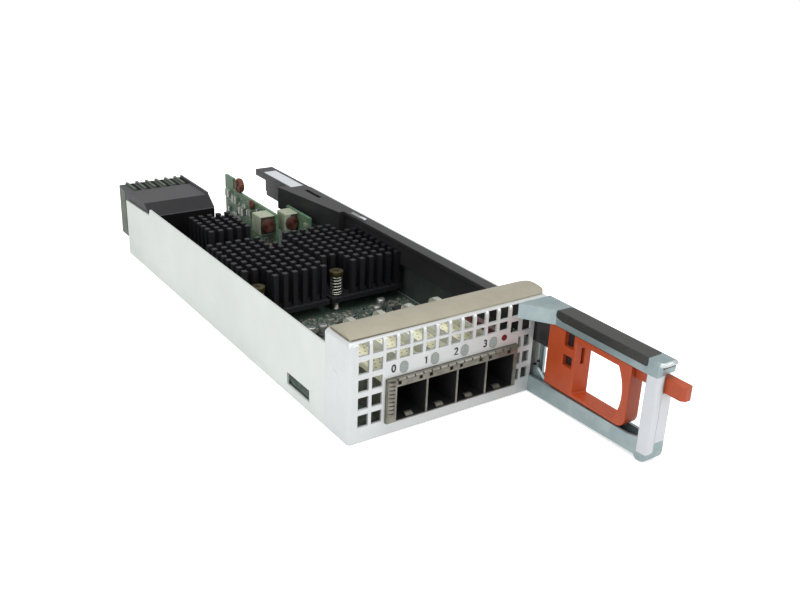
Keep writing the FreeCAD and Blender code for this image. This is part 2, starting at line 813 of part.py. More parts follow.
def build_light_pipe(name, inset, level, hump, lens):
    """A clear bar that runs back from its lens over the cage, over a rounded hump and down to its lamp."""
    body = new_body(name)
    middle = from_left(inset)
    foot = f"{BOARD_TOP} + led_height"
    inner = f"{hump} - pipe_thickness"
    pad(body, "bar", "x", f"{middle} - pipe_width / 2", "pipe_width", [
        ("sheet", f"{level} - pipe_thickness / 2"),
        ("pipe_leg - 3 * pipe_thickness", f"{level} - pipe_thickness / 2"),
        ("pipe_leg - 2 * pipe_thickness", inner),
        ("pipe_leg - pipe_thickness / 2", inner),
        ("pipe_leg - pipe_thickness / 2", foot),
        ("pipe_leg + pipe_thickness / 2", foot),
        ("pipe_leg + pipe_thickness / 2", hump, "pipe_thickness"),
        ("pipe_leg - 2.5 * pipe_thickness", hump, "pipe_thickness"),
        ("pipe_leg - 3.5 * pipe_thickness", f"{level} + pipe_thickness / 2"),
        ("sheet", f"{level} + pipe_thickness / 2"),
    ])
    pad(body, "lens", "y", "-lens_proud", "sheet + lens_proud", lens)


def build_light_pipes():
    lamps = []
    insets = [f"lens_inset + {order} * lens_pitch" for order in range(int(number("port_count")))]
    for order, inset in enumerate(insets):
        lens = rectangle(from_left(f"{inset} - lens_width / 2"), from_left(f"{inset} + lens_width / 2"),
                         "lens_level - lens_height / 2", "lens_level + lens_height / 2", "lens_corner")
        build_light_pipe(f"light_pipe_{order}", inset, "lens_level", "pipe_hump", lens)
    build_light_pipe("fault_light_pipe", "fault_inset", "fault_level", "fault_hump",
                     (from_left("fault_inset"), "fault_level", "fault_radius"))
    for order, inset in enumerate(insets + ["fault_inset"]):
        lamps.append(block(f"lamp_{order}", from_left(f"{inset} - led_size / 2"),
                           from_left(f"{inset} + led_size / 2"), "pipe_leg - led_size / 2",
                           "pipe_leg + led_size / 2", BOARD_TOP, f"{BOARD_TOP} + led_height"))
    grouped("board_leds", lamps)


# Heat sinks


def build_heat_sink(name, left, front, across, along, low, top, counts, corners):
    """A base plate with a field of square pins, made by crossed grooves. The corners named are cleared of
    pins and drilled for a spring screw."""
    body = new_body(name)
    columns, rows = counts
    edge = "(pin_width / 2 + sink_margin)"
    near = f"({left}) - {edge}"
    far = f"({left}) + ({columns} - 1) * {across} + {edge}"
    start = f"({front}) - {edge}"
    end = f"({front}) + ({rows} - 1) * {along} + {edge}"
    base_top = f"{low} + sink_base"
    pad(body, "base", "z", low, "sink_base", rectangle(from_left(near), from_left(far), start, end))
    pad(body, "pin_block", "z", base_top, f"{top} - ({base_top})", rectangle(
        from_left(f"({left}) - pin_width / 2"), from_left(f"{far} - sink_margin"),
        f"({front}) - pin_width / 2", f"{end} - sink_margin"))
    height = f"{top} - ({base_top})"
    first = pocket(body, "groove", "z", base_top, height, rectangle(
        from_left(f"({left}) + pin_width / 2"), from_left(f"({left}) + {across} - pin_width / 2"),
        start, end))
    repeat(body, "grooves", first, "x", across, f"{columns} - 1")
    second = pocket(body, "cross_groove", "z", base_top, height, rectangle(
        from_left(near), from_left(far), f"({front}) + pin_width / 2",
        f"({front}) + {along} - pin_width / 2"))
    repeat(body, "cross_grooves", second, "y", along, f"{rows} - 1")
    clear_across = f"({edge} + (notch_pins - 0.5) * {across})"
    clear_along = f"({edge} + (notch_pins - 0.5) * {along})"
    for order, (u, v) in enumerate(corners):
        sides = (near, f"{near} + {clear_across}") if u < 0 else (f"{far} - {clear_across}", far)
        ends = (start, f"{start} + {clear_along}") if v < 0 else (f"{end} - {clear_along}", end)
        pocket(body, f"corner_{order}", "z", base_top, height,
               rectangle(from_left(sides[0]), from_left(sides[1]), *ends))
    if corners:
        holes = [(*corner_place(left, front, across, along, counts, corner), "screw_hole_radius")
                 for corner in corners]
        pocket(body, "screw_holes", "z", low, "sink_base", *holes)


def corner_place(left, front, across, along, counts, corner):
    """The middle of a cleared corner of a sink, where its spring screw stands."""
    columns, rows = counts
    u = f"({left}) + spring_screw_inset - pin_width / 2"
    v = f"({front}) + spring_screw_inset - pin_width / 2"
    if corner[0] > 0:
        u = f"({left}) + ({columns} - 1) * {across} - spring_screw_inset + pin_width / 2"
    if corner[1] > 0:
        v = f"({front}) + ({rows} - 1) * {along} - spring_screw_inset + pin_width / 2"
    return from_left(u), v


def build_heat_sinks():
    corners = ((-1, -1), (1, 1))
    counts = ("pins_across", "pins_along")
    chips = []
    heads = []
    springs = []
    for side in ("left", "right"):
        run = (f"sink_{side}", "sink_front", "pin_pitch_across", "pin_pitch_along")
        build_heat_sink(f"heat_sink_{side}", *run, "sink_base_low", "pin_top", counts, corners)
        u = f"sink_{side} + (pins_across - 1) / 2 * pin_pitch_across"
        v = "sink_front + (pins_along - 1) / 2 * pin_pitch_along"
        chips.append((f"chip_{side}", u, v, "big_chip", "sink_base_low"))
        for order, corner in enumerate(corners):
            u, v = corner_place(*run, counts, corner)
            base_top = "sink_base_low + sink_base"
            under_head = "screw_top - screw_head_height"
            heads.append(joined(f"spring_screw_{side}_{order}", [
                prism(f"screw_shaft_{side}_{order}", "z", (u, v, BOARD_TOP), "screw_shaft_radius",
                      f"{under_head} - ({BOARD_TOP})"),
                rod(f"screw_head_{side}_{order}", "z", (u, v, under_head), "screw_head_radius",
                    "screw_head_height"),
            ]))
            springs.append(cut(
                f"sink_spring_{side}_{order}",
                prism(f"coil_{side}_{order}", "z", (u, v, base_top), "spring_radius",
                      f"{under_head} - ({base_top})"),
                [prism(f"coil_bore_{side}_{order}", "z", (u, v, base_top), "spring_radius - spring_wire",
                       f"{under_head} - ({base_top})")]))
    grouped("sink_screws", heads)
    grouped("sink_springs", springs)
    build_heat_sink("heat_sink_small", "small_sink_left", "small_sink_front", "small_sink_pitch",
                    "small_sink_pitch", "small_sink_low", "small_pin_top",
                    ("small_pins_across", "small_pins_along"), ())
    chips.append(("chip_small", "small_sink_left + (small_pins_across - 1) / 2 * small_sink_pitch",
                  "small_sink_front + (small_pins_along - 1) / 2 * small_sink_pitch", "small_chip",
                  "small_sink_low"))
    for name, u, v, width, top in chips:
        body = new_body(name)
        pad(body, "package", "z", BOARD_TOP, f"{top} - ({BOARD_TOP})", rectangle(
            from_left(f"{u} - {width} / 2"), from_left(f"{u} + {width} / 2"), f"{v} - {width} / 2",
            f"{v} + {width} / 2"))


# Rear connector


def build_connector():
    body = new_body("rear_connector")
    near = from_left("connector_inset")
    pad(body, "housing", "x", near, across("connector_width"), [
        ("connector_front", BOARD_TOP), ("connector_front", "connector_shoulder_low"),
        ("connector_shoulder", "connector_top"), ("connector_end", "connector_top"),
        ("connector_end", "connector_overhang_low"), ("board_end", "connector_overhang_low"),
        ("board_end", BOARD_TOP),
    ])
    slot_left = "connector_inset + wafer_inset"
    first = pocket(body, "wafer_slot", "z", "wafer_low", "connector_top - wafer_low", rectangle(
        from_left(slot_left), from_left(f"{slot_left} + wafer_thickness"), "wafer_front", "connector_end"))
    repeat(body, "wafer_slots", first, "x", "wafer_pitch", "wafer_count")
    pad(body, "key", "z", "connector_top", "key_height", rectangle(
        from_left("connector_inset + connector_width - key_width"),
        from_left("connector_inset + connector_width"), "connector_shoulder", "connector_end"))
    wafers = []
    for order in range(int(number("wafer_count"))):
        left = f"{slot_left} + {order} * wafer_pitch"
        wafers.append(block(f"wafer_{order}", from_left(left), from_left(f"{left} + wafer_thickness"),
                            "wafer_front", "connector_end + wafer_proud", "wafer_low",
                            "connector_top + wafer_proud"))
    grouped("connector_wafers", wafers)


# Side rail


def rail_plan(ledge, wall):
    """The rail seen from above. Its front stretch reaches ledge in from the tray's wall, and every side is
    drawn in by wall."""
    outer = f"{INNER_RIGHT} - {wall}"
    front, wide, widest, tail = (f"{INNER_RIGHT} - {across(reach)} + {wall}" for reach in (
        ledge, "rail_wide_ledge", "rail_widest", "rail_tail_ledge"))
    return [
        (outer, f"rail_front + {wall}"), (outer, f"rail_end - {wall}"),
        (tail, f"rail_end - {wall}"), (tail, f"rail_widest_at + {wall}"),
        (widest, f"rail_widest_at - {wall}"), (wide, f"rail_wide_start + {wall}"),
        (front, f"rail_wide_start + {wall}"), (front, f"rail_front + {wall}"),
    ]


def build_rail():
    body = new_body("side_rail")
    roof = "wall_height - rail_roof"
    pad(body, "roof", "z", roof, "rail_roof", rail_plan("rail_ledge", "0"))
    pad(body, "skirt", "z", "rail_low", f"{roof} - rail_low", rail_plan("rail_skirt", "0"))
    pocket(body, "hollow", "z", "rail_low", f"{roof} - rail_low", rail_plan("rail_skirt", "rail_wall"))
    pocket(body, "tail_relief", "z", "rail_low", "rail_tail_low - rail_low", rectangle(
        f"{INNER_RIGHT} - {across('rail_widest')}", INNER_RIGHT, "rail_tail_start", "rail_end"))
    slot_right = f"{INNER_RIGHT} - {across('rail_slot_inset')}"
    pocket(body, "slot", "z", roof, "rail_roof", rectangle(
        f"{slot_right} - rail_slot_width", slot_right, "rail_slot_start", "rail_slot_start + rail_slot_length"))
    clip = new_body("rail_clip")
    clip_right = f"{INNER_RIGHT} - {across('clip_inset')}"
    pad(clip, "strip", "z", "wall_height", "clip_thickness", rectangle(
        f"{clip_right} - clip_width", clip_right, "clip_start", "clip_start + clip_length"))


# Power cards and board parts


def build_power_cards():
    body = new_body("power_card_left")
    pad(body, "card", "x", from_left("card_inset"), "card_thickness", [
        ("card_front", BOARD_TOP), ("card_end", BOARD_TOP), ("card_end", "ear_top"),
        ("card_end - ear_length", "ear_top"), ("card_end - ear_length", "card_top"), ("card_front", "card_top"),
    ])
    body = new_body("power_card_right")
    pad(body, "card", "x", from_left("far_card_inset"), "card_thickness",
        rectangle("far_card_front", "far_card_end", BOARD_TOP, "far_card_top"))
    cores = []
    windings = []
    for name, width, face, front in (
            ("near", "inductor_width", "card_inset", "inductor_front"),
            ("far", "far_inductor_width", "far_card_inset", "far_inductor_front")):
        high = "inductor_low + inductor_height"
        cores.append(block(f"core_{name}", from_left(f"{face} - {width}"), from_left(face), front,
                           f"{front} + inductor_length", "inductor_low", high))
        centre = (from_left(f"{face} - {width} / 2"), f"{front} - winding_length",
                  "inductor_low + inductor_height / 2")
        windings.append(rod(f"winding_{name}", "y", centre, "winding_radius", "winding_length"))
    grouped("power_inductors", cores)
    grouped("inductor_windings", windings)
    rings = []
    ring_places = {
        "toroid": (f"{from_left('card_inset')} + card_thickness / 2 - toroid_tube",
                   "card_top + toroid_radius + toroid_tube"),
        "small_toroid": (f"{from_left('card_inset')} - 2 * small_toroid_tube", "small_toroid_level"),
    }
    for name, (near, level) in ring_places.items():
        place = (near, f"{name}_at", level)
        rings.append(cut(
            f"{name}_ring",
            rod(f"{name}_outside", "x", place, f"{name}_radius + {name}_tube", f"2 * {name}_tube"),
            [rod(f"{name}_bore", "x", place, f"{name}_radius - {name}_tube", f"2 * {name}_tube")]))
    grouped("power_toroids", rings)


# Pull handle


STEM_TOP = "trigger_top + stem_rise"
STEM_RIGHT = f"{HANDLE_RIGHT} - slide_gap"


def build_handle():
    body = new_body("handle_bracket")
    front = "-handle_reach"
    heel = f"{front} + handle_end_flange"
    low_edge = [
        (f"{heel} - handle_joggle / 3", "0"), (f"{heel} + 2 * handle_joggle / 3", "handle_joggle"), ("0", "0"),
    ]
    pad(body, "loop", "x", HANDLE_LEFT, f"{HANDLE_RIGHT} - ({HANDLE_LEFT})", [
        (front, "0", "handle_toe_radius"), *low_edge,
        ("0", "handle_sheet"), (f"{heel} + 2 * handle_joggle / 3", "handle_joggle + handle_sheet"),
        (f"{heel} - handle_joggle / 3", "handle_sheet"),
        (f"{front} + handle_sheet", "handle_sheet", "handle_toe_radius - handle_sheet"),
        (f"{front} + handle_sheet", "bezel_height - handle_sheet", "handle_radius - handle_sheet"),
        ("0", "bezel_height - handle_sheet"), ("0", "bezel_height"), (front, "bezel_height", "handle_radius"),
    ])
    neck = f"{heel} + handle_neck_length"
    channel = [
        (front, "0", "handle_toe_radius"), *low_edge, ("0", "handle_low_flange"),
        (neck, "handle_low_flange + handle_low_lift"), (heel, "handle_neck"),
        (heel, "bezel_height - handle_flange"), ("0", "bezel_height - handle_flange"), ("0", "bezel_height"),
        (front, "bezel_height", "handle_radius"),
    ]
    pad(body, "left_flange", "x", HANDLE_LEFT, "handle_sheet", channel)
    pad(body, "right_flange", "x", HANDLE_INNER_RIGHT, "handle_sheet", channel)
    inset = "(1 - sqrt(2) / 2) * handle_bend"
    pocket(body, "front_bend", "z", "0", "bezel_height", [
        (HANDLE_LEFT, f"{front} + handle_bend", (f"{HANDLE_LEFT} + {inset}", f"{front} + {inset}")),
        (f"{HANDLE_LEFT} + handle_bend", front), (f"{HANDLE_LEFT} - handle_bend", f"{front} - handle_bend"),
    ])
    pad(body, "side_tab", "x", HANDLE_INNER_RIGHT, "handle_sheet",
        rectangle("-handle_sheet", "side_tab_length", "0", "side_tab_height"))
    rivets = [(row, height, "rivet_radius + rivet_gap") for row, height in RIVET_PLACES]
    pocket(body, "rivet_holes", "x", HANDLE_INNER_RIGHT, "handle_sheet", *rivets)
    brace_top = "handle_low_flange + brace_height"
    pad(body, "brace", "x", f"{HANDLE_INNER_LEFT} + handle_sheet", "handle_sheet", [
        ("-brace_length", "handle_sheet / 2"), ("0", "handle_sheet / 2"), ("0", brace_top),
        ("-brace_length / 3", brace_top), ("-brace_length", "handle_low_flange"),
    ])
    gusset = "gusset_start - tray_width / 2"
    pad(body, "gusset_plate", "z", "bezel_height - handle_sheet", "handle_sheet", [
        (gusset, "0"), (HANDLE_INNER_LEFT, "0"), (HANDLE_INNER_LEFT, "-gusset_end"),
        (HANDLE_LEFT, "-gusset_end"),
    ])
    pad(body, "gusset_flange", "z", "bezel_height - handle_flange", "handle_flange", [
        (gusset, "0"), (HANDLE_LEFT, "-gusset_end"), (HANDLE_INNER_LEFT, "-gusset_end"),
        (HANDLE_INNER_LEFT, "handle_sheet - gusset_end"), (f"{gusset} + 1.5 * handle_sheet", "0"),
    ])
    lip_nose = "lip_height / 2 - lip_proud / 8"
    pad(body, "lip", "x", f"{HANDLE_LEFT} + handle_bend", f"{HANDLE_RIGHT} - ({HANDLE_LEFT}) - handle_bend", [
        (f"{front} - lip_proud", "bezel_height", lip_nose),
        (f"{front} - lip_proud", "bezel_height - lip_height", lip_nose),
        (f"{front} + handle_radius", "bezel_height - lip_height"),
        (f"{front} + handle_radius", "bezel_height"),
    ])
    pocket(body, "stem_slot", "y", f"{front} - lip_proud",
           f"handle_reach + lip_proud - trigger_front + slide_gap", rectangle(
               f"{STEM_RIGHT} - stem_width - slide_gap", HANDLE_RIGHT,
               f"{STEM_TOP} - stem_height - slide_gap", f"{STEM_TOP} + stem_room"))


def build_rivets():
    rivets = []
    for order, (row, height) in enumerate(RIVET_PLACES):
        rivets.append(joined(f"rivet_{order}", [
            rod(f"rivet_shank_{order}", "x", (INNER_RIGHT, row, height), "rivet_radius",
                "sheet + handle_sheet"),
            rod(f"rivet_head_{order}", "x", (HANDLE_RIGHT, row, height), "rivet_head_radius", "rivet_head"),
        ]))
    grouped("handle_rivets", rivets)


# Trigger, latch bar and return spring


def build_trigger():
    body = new_body("trigger")
    near = f"{HANDLE_LEFT} + slide_gap"
    width = f"{HANDLE_RIGHT} - ({HANDLE_LEFT}) - 2 * slide_gap"
    pad(body, "grip", "x", near, width, [
        ("-trigger_front", "trigger_low", "trigger_corner"), ("-trigger_back", "trigger_low"),
        ("-trigger_back", "trigger_top"), ("-trigger_front", "trigger_top"),
    ])
    web = f"{HANDLE_MIDDLE} - trigger_web / 2"
    pad(body, "upper_slide", "x", web, "trigger_web", rectangle(
        "-upper_rail_front", "-trigger_back - rail_run_in", "trigger_top",
        "bezel_height - handle_sheet - slide_gap"))
    pad(body, "lower_slide", "x", web, "trigger_web", rectangle(
        "-lower_rail_front", "-trigger_back - rail_run_in", "lower_rail_low", "trigger_low"))
    pocket(body, "finger_window", "x", near, width, [
        ("-grip_back", "grip_low"), ("-grip_back", "grip_top"),
        ("-grip_front + grip_bow", "grip_top", ("-grip_front - grip_bow / 4", "(grip_low + grip_top) / 2")),
        ("-grip_front + grip_bow", "grip_low"),
    ])
    far = f"{HANDLE_RIGHT} - slide_gap"
    pad(body, "window_slope", "z", "grip_low", "grip_top - grip_low", [
        (near, "-grip_back"), (far, "-grip_back - grip_slope"), (far, "-grip_back"),
    ])
    tongue = f"{HANDLE_MIDDLE} - latch_tongue_thickness / 2"
    pocket(body, "latch_slot", "x", tongue, "latch_tongue_thickness", rectangle(
        "-latch_window_front", "-trigger_back", "latch_tongue_low", "trigger_top"))
    slit_depth = "grip_back + grip_slope - latch_window_front"
    pocket(body, "slit", "y", "-grip_back - grip_slope", slit_depth, rectangle(
        f"{HANDLE_MIDDLE} - slit_width / 2", f"{HANDLE_MIDDLE} + slit_width / 2", "slit_low",
        "slit_low + slit_height"))
    window = ("-latch_window_front", "-latch_window_front + latch_window_length")
    pocket(body, "upper_latch_window", "x", near, f"{tongue} - ({near})",
           rectangle(*window, "latch_window_high", "trigger_top"))
    pocket(body, "lower_latch_window", "x", near, f"{tongue} - ({near})",
           rectangle(*window, "latch_window_low", "latch_window_low + latch_window_height"))
    stem_left = f"{STEM_RIGHT} - stem_width"
    pad(body, "stem", "z", f"{STEM_TOP} - stem_height", "stem_height", [
        (stem_left, "-trigger_front"), (stem_left, "stem_chamfer - stem_reach"),
        (f"{stem_left} + stem_chamfer", "-stem_reach"), (STEM_RIGHT, "-stem_reach"),
        (STEM_RIGHT, "-trigger_front"),
    ])


def build_latch_bar():
    body = new_body("latch_bar")
    near = f"{HANDLE_INNER_LEFT} + slide_gap"
    far = f"{INNER_RIGHT} - slide_gap"
    pad(body, "bar", "z", "latch_low", "latch_top - latch_low", [
        (near, "-trigger_back"), (far, "-trigger_back"), (far, "latch_end - latch_nose"),
        (f"{far} - latch_nose", "latch_end"), (near, "latch_end"),
    ])
    tongue = (f"{HANDLE_MIDDLE} - latch_tongue_thickness / 2", "latch_tongue_thickness")
    pad(body, "tongue", "x", *tongue, rectangle(
        "-latch_window_front", "-trigger_back", "latch_tongue_low", "latch_top"))
    pad(body, "root", "x", *tongue, rectangle(
        "-trigger_back", "latch_nose - trigger_back", "latch_tongue_low", "latch_low"))


def build_return_spring():
    level = "bezel_height - handle_radius - return_spring_radius"
    length = "handle_reach - handle_sheet - upper_rail_front"
    place = (HANDLE_MIDDLE, "handle_sheet - handle_reach", level)
    spring = cut("return_spring", prism("spring_outside", "y", place, "return_spring_radius", length),
                 [prism("spring_inside", "y", place, "return_spring_radius - return_spring_wire", length)])
    nodes["return_spring"] = spring


build_tray()
build_bezel()
build_gasket()
build_board()
build_board_parts()
build_cage()
for port in range(int(number("port_count"))):
    build_receptacle(port)
build_finger_strip()
build_light_pipes()
build_heat_sinks()
build_connector()
build_rail()
build_power_cards()
build_handle()
build_rivets()
build_trigger()
build_latch_bar()
build_return_spring()
doc.recompute()

# Every object must have built, and every cut must have taken something away

for item in doc.Objects:
    if "Invalid" in item.State or "Error" in item.State:
        raise RuntimeError(f"{item.Label} did not build: {item.State}")
    if item.TypeId == "PartDesign::Pocket" and item.BaseFeature.Shape.Volume - item.Shape.Volume < 1e-6:
        raise RuntimeError(f"{item.Label} cuts nothing")

os.makedirs("parts", exist_ok=True)
for name, node in nodes.items():
    node.Label = name
    if node.Shape.isNull() or not node.Shape.isValid():
        raise RuntimeError(f"{name} has no valid shape")
    node.Shape.exportStep(f"parts/{name}.step")
    print(f"{name:20s} {len(node.Shape.Solids):3d} solids {node.Shape.Volume:12.1f} mm3")
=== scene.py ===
# %% [markdown]
# # A four-port I/O module, dressed for a studio shot
#
# The object is a circuit board in an open sheet-metal tray, with a perforated bezel at the front and a
# pull handle on its right. Its solids are already exact, so this lesson only finishes them: it sets up
# the camera and the light, gives every surface a material made from nodes, and adds the small pieces that
# a solid model leaves out, such as coil springs, chip pins, labels and contacts.

# %% Loading the module
import json
import math
import random

import bmesh
import bpy
from mathutils import Euler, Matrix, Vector


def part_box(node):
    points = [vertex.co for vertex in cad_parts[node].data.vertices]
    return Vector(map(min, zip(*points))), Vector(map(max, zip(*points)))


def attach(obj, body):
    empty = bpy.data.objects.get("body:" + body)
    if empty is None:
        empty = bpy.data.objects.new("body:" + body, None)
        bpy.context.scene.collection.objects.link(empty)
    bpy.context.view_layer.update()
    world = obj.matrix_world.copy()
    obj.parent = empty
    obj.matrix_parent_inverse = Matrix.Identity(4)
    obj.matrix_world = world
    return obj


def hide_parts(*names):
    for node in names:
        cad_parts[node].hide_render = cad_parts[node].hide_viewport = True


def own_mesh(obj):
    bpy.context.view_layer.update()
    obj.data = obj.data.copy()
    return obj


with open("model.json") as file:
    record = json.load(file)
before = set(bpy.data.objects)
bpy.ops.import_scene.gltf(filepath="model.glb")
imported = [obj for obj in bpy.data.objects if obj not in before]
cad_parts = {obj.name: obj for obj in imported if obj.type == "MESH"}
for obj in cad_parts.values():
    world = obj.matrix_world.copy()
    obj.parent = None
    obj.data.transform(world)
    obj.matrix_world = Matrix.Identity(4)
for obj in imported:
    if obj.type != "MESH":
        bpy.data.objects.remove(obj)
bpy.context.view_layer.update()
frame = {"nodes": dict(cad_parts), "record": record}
nodes = frame["nodes"]
MM = 0.001
print("solids loaded:", len(nodes))


# %% [markdown]
# ## The camera
#
# The module is seen from the front left and a little above. In such a picture its parallel edges lean
# towards three vanishing points, and those fix the lens and the tilt of the camera. So the camera is
# placed by plain numbers, and nothing needs to be tried by eye.

# %% Camera
CAMERA_PLACE = (-0.2122, -0.2661, 0.1949)
CAMERA_TILT = (66.745, -2.189, -33.977)
CAMERA_LENS = 43.575
SENSOR_WIDTH = 36.0

scene = bpy.context.scene
camera_data = bpy.data.cameras.new("camera")
camera_data.lens = CAMERA_LENS
camera_data.sensor_width = SENSOR_WIDTH
camera = bpy.data.objects.new("camera", camera_data)
camera.location = CAMERA_PLACE
camera.rotation_euler = Euler([math.radians(angle) for angle in CAMERA_TILT])
scene.collection.objects.link(camera)
scene.camera = camera
scene.view_settings.view_transform = "Standard"
print("camera at", tuple(camera.location), "lens", camera_data.lens)


# %% [markdown]
# ## Colours and nodes
#
# Colours are written in the 0 to 255 steps of a paint chart, and one helper turns them into the light
# values that shaders count in. Nodes could be wired by hand in Blender's editor. In code each value can
# be read, so two more helpers start a material and place a node.

# %% Colour and node helpers
WHITE = (1, 1, 1, 1)


def colour(red, green, blue):
    """A colour given in the 0 to 255 steps of a paint chart, as the linear values that shaders use."""
    return tuple(((step / 255 + 0.055) / 1.055) ** 2.4 if step > 10 else step / 255 / 12.92
                 for step in (red, green, blue)) + (1.0,)


def new_material(name):
    """A new material with its node tree and its Principled shader."""
    material = bpy.data.materials.new(name)
    material.use_nodes = True
    tree = material.node_tree
    return material, tree, tree.nodes["Principled BSDF"]


def node(tree, kind, **values):
    """A node of that kind, with its settings and its sockets' values."""
    item = tree.nodes.new(f"ShaderNode{kind}")
    for name, value in values.items():
        if name in item.inputs:
            item.inputs[name].default_value = value
        else:
            setattr(item, name, value)
    return item


print("middle grey on a paint chart is", round(colour(128, 128, 128)[0], 3), "as light")


# %% [markdown]
# ## The floor
#
# The module stands on a pale table, and a wide matt sheet just below it catches its shadow. Lamps that
# turn the sheet white would bleach the metal, so the sheet glows a little by itself, and only to the
# camera.

# %% Floor
FLOOR_SIZE = 6.0
FLOOR_DROP = 0.0004
FLOOR_GLOW = 0.5
half = FLOOR_SIZE / 2
floor_mesh = bpy.data.meshes.new("floor")
floor_corners = [(-half, -half, 0), (half, -half, 0), (half, half, 0), (-half, half, 0)]
floor_mesh.from_pydata(floor_corners, [], [(0, 1, 2, 3)])
floor = bpy.data.objects.new("floor", floor_mesh)
floor.location.z = -FLOOR_DROP
scene.collection.objects.link(floor)

floor_paper, tree, shader = new_material("floor_paper")
shader.inputs["Base Color"].default_value = colour(250, 250, 250)
shader.inputs["Roughness"].default_value = 0.9
shader.inputs["Emission Color"].default_value = WHITE
rays = node(tree, "LightPath")
glow = node(tree, "Math", operation="MULTIPLY")
glow.inputs[1].default_value = FLOOR_GLOW
tree.links.new(rays.outputs["Is Camera Ray"], glow.inputs[0])
tree.links.new(glow.outputs[0], shader.inputs["Emission Strength"])
floor_mesh.materials.append(floor_paper)
print("floor:", FLOOR_SIZE, "m wide")


# %% [markdown]
# ## The room
#
# Soft daylight comes from every side. One white world would do, but metal would glare in it. So the kind
# of ray chooses among three levels: full white where the camera looks past the floor, a dimmer one in
# reflections, and the dimmest as light on the object.

# %% World
ROOM_LEVEL = 0.55
GLOSSY_LEVEL = 0.66
world = bpy.data.worlds.new("studio")
scene.world = world
world.use_nodes = True
tree = world.node_tree
daylight = tree.nodes["Background"]
daylight.inputs["Color"].default_value = WHITE
daylight.inputs["Strength"].default_value = ROOM_LEVEL
reflected = node(tree, "Background", Color=WHITE, Strength=GLOSSY_LEVEL)
backdrop = node(tree, "Background", Color=WHITE)
rays = node(tree, "LightPath")
lit = node(tree, "MixShader")
seen = node(tree, "MixShader")
for blend, ray, first, second in ((lit, "Is Glossy Ray", daylight, reflected),
                                  (seen, "Is Camera Ray", lit, backdrop)):
    tree.links.new(rays.outputs[ray], blend.inputs[0])
    tree.links.new(first.outputs[0], blend.inputs[1])
    tree.links.new(second.outputs[0], blend.inputs[2])
tree.links.new(seen.outputs[0], tree.nodes["World Output"].inputs["Surface"])
print("room:", ROOM_LEVEL, "as light and", GLOSSY_LEVEL, "in reflections")


# %% [markdown]
# ## The lamps
#
# Four area lamps model the shape: a large one above for the soft shadow, one from the left for the tray's
# wall, a weaker one from the front for the bezel, and a small one that brings out the handle's folded
# edges.

# %% Lamps
LAMP_TARGET = (0, 0.08, 0.02)
# Each lamp's place, size and power
LAMPS = {
    "lamp_above": ((-0.1, 0.05, 0.9), 0.8, 5.0),
    "lamp_left": ((-0.9, -0.3, 0.5), 0.6, 3.2),
    "lamp_front": ((0.2, -0.9, 0.35), 0.5, 1.4),
    "lamp_edge": ((0.6, -0.42, 0.5), 0.22, 1.3),
}
for name, (place, size, power) in LAMPS.items():
    lamp_data = bpy.data.lights.new(name, "AREA")
    lamp_data.size = size
    lamp_data.energy = power
    lamp = bpy.data.objects.new(name, lamp_data)
    lamp.location = place
    lamp.rotation_euler = (Vector(LAMP_TARGET) - Vector(place)).to_track_quat("-Z", "Y").to_euler()
    scene.collection.objects.link(lamp)
print("lamps:", ", ".join(LAMPS))


# %% [markdown]
# ## Shared surface effects
#
# Real surfaces are never one flat colour. Two effects serve the whole module: a cloudy mottle for
# plating, laminate and fabric, and a grain, which is moulded texture on plastics and, stretched one way,
# the streaks of rolled sheet. Pictures could be laid on instead, but noise needs no unwrapping and shows
# no seams. Each effect is a node group, built once, and every material sets its own scale and strength.

# %% A new node group
def new_group(name, sockets_in, sockets_out):
    """A shader node group. Inputs are (name, kind, default) and outputs are (name, kind)."""
    group = bpy.data.node_groups.new(name, "ShaderNodeTree")
    for socket, kind, default in sockets_in:
        entry = group.interface.new_socket(socket, in_out="INPUT", socket_type=kind)
        entry.default_value = default
    for socket, kind in sockets_out:
        group.interface.new_socket(socket, in_out="OUTPUT", socket_type=kind)
    return group, group.nodes.new("NodeGroupInput"), group.nodes.new("NodeGroupOutput")


print("groups so far:", len(bpy.data.node_groups))


# %% [markdown]
# ## The mottle
#
# Plating and lacquer are cloudy: a second colour lies over the first in soft patches. A noise gives the
# clouds and a Map Range sharpens them. The mask of the clouds comes out too, so that a finish can make
# them duller or shinier than the rest.

# %% Mottle
CLOUD_EDGES = (0.35, 0.65)
# A Mix node keeps its colours in these sockets, whose names its other kinds share
MIX_FIRST, MIX_SECOND, MIX_RESULT = 6, 7, 2


def mottle_group():
    """Clouds of a second colour over the first, and the mask that shows where they lie."""
    group, given, result = new_group("mottle", [
        ("Colour", "NodeSocketColor", (0.8, 0.8, 0.8, 1)),
        ("Second Colour", "NodeSocketColor", (0.7, 0.7, 0.7, 1)),
        ("Scale", "NodeSocketFloat", 60.0),
        ("Amount", "NodeSocketFloat", 0.5),
    ], [("Colour", "NodeSocketColor"), ("Mask", "NodeSocketFloat")])
    place = node(group, "TexCoord")
    noise = node(group, "TexNoise", Detail=6.0, Roughness=0.65)
    spread = node(group, "MapRange", clamp=True)
    spread.inputs["From Min"].default_value, spread.inputs["From Max"].default_value = CLOUD_EDGES
    share = node(group, "Math", operation="MULTIPLY")
    mix = node(group, "Mix", data_type="RGBA")
    links = group.links
    links.new(place.outputs["Object"], noise.inputs["Vector"])
    links.new(given.outputs["Scale"], noise.inputs["Scale"])
    links.new(noise.outputs["Fac"], spread.inputs["Value"])
    links.new(spread.outputs[0], share.inputs[0])
    links.new(given.outputs["Amount"], share.inputs[1])
    links.new(share.outputs[0], mix.inputs[0])
    links.new(given.outputs["Colour"], mix.inputs[MIX_FIRST])
    links.new(given.outputs["Second Colour"], mix.inputs[MIX_SECOND])
    links.new(mix.outputs[MIX_RESULT], result.inputs["Colour"])
    links.new(share.outputs[0], result.inputs["Mask"])
    return group


MOTTLE = mottle_group()
print("effect:", MOTTLE.name)


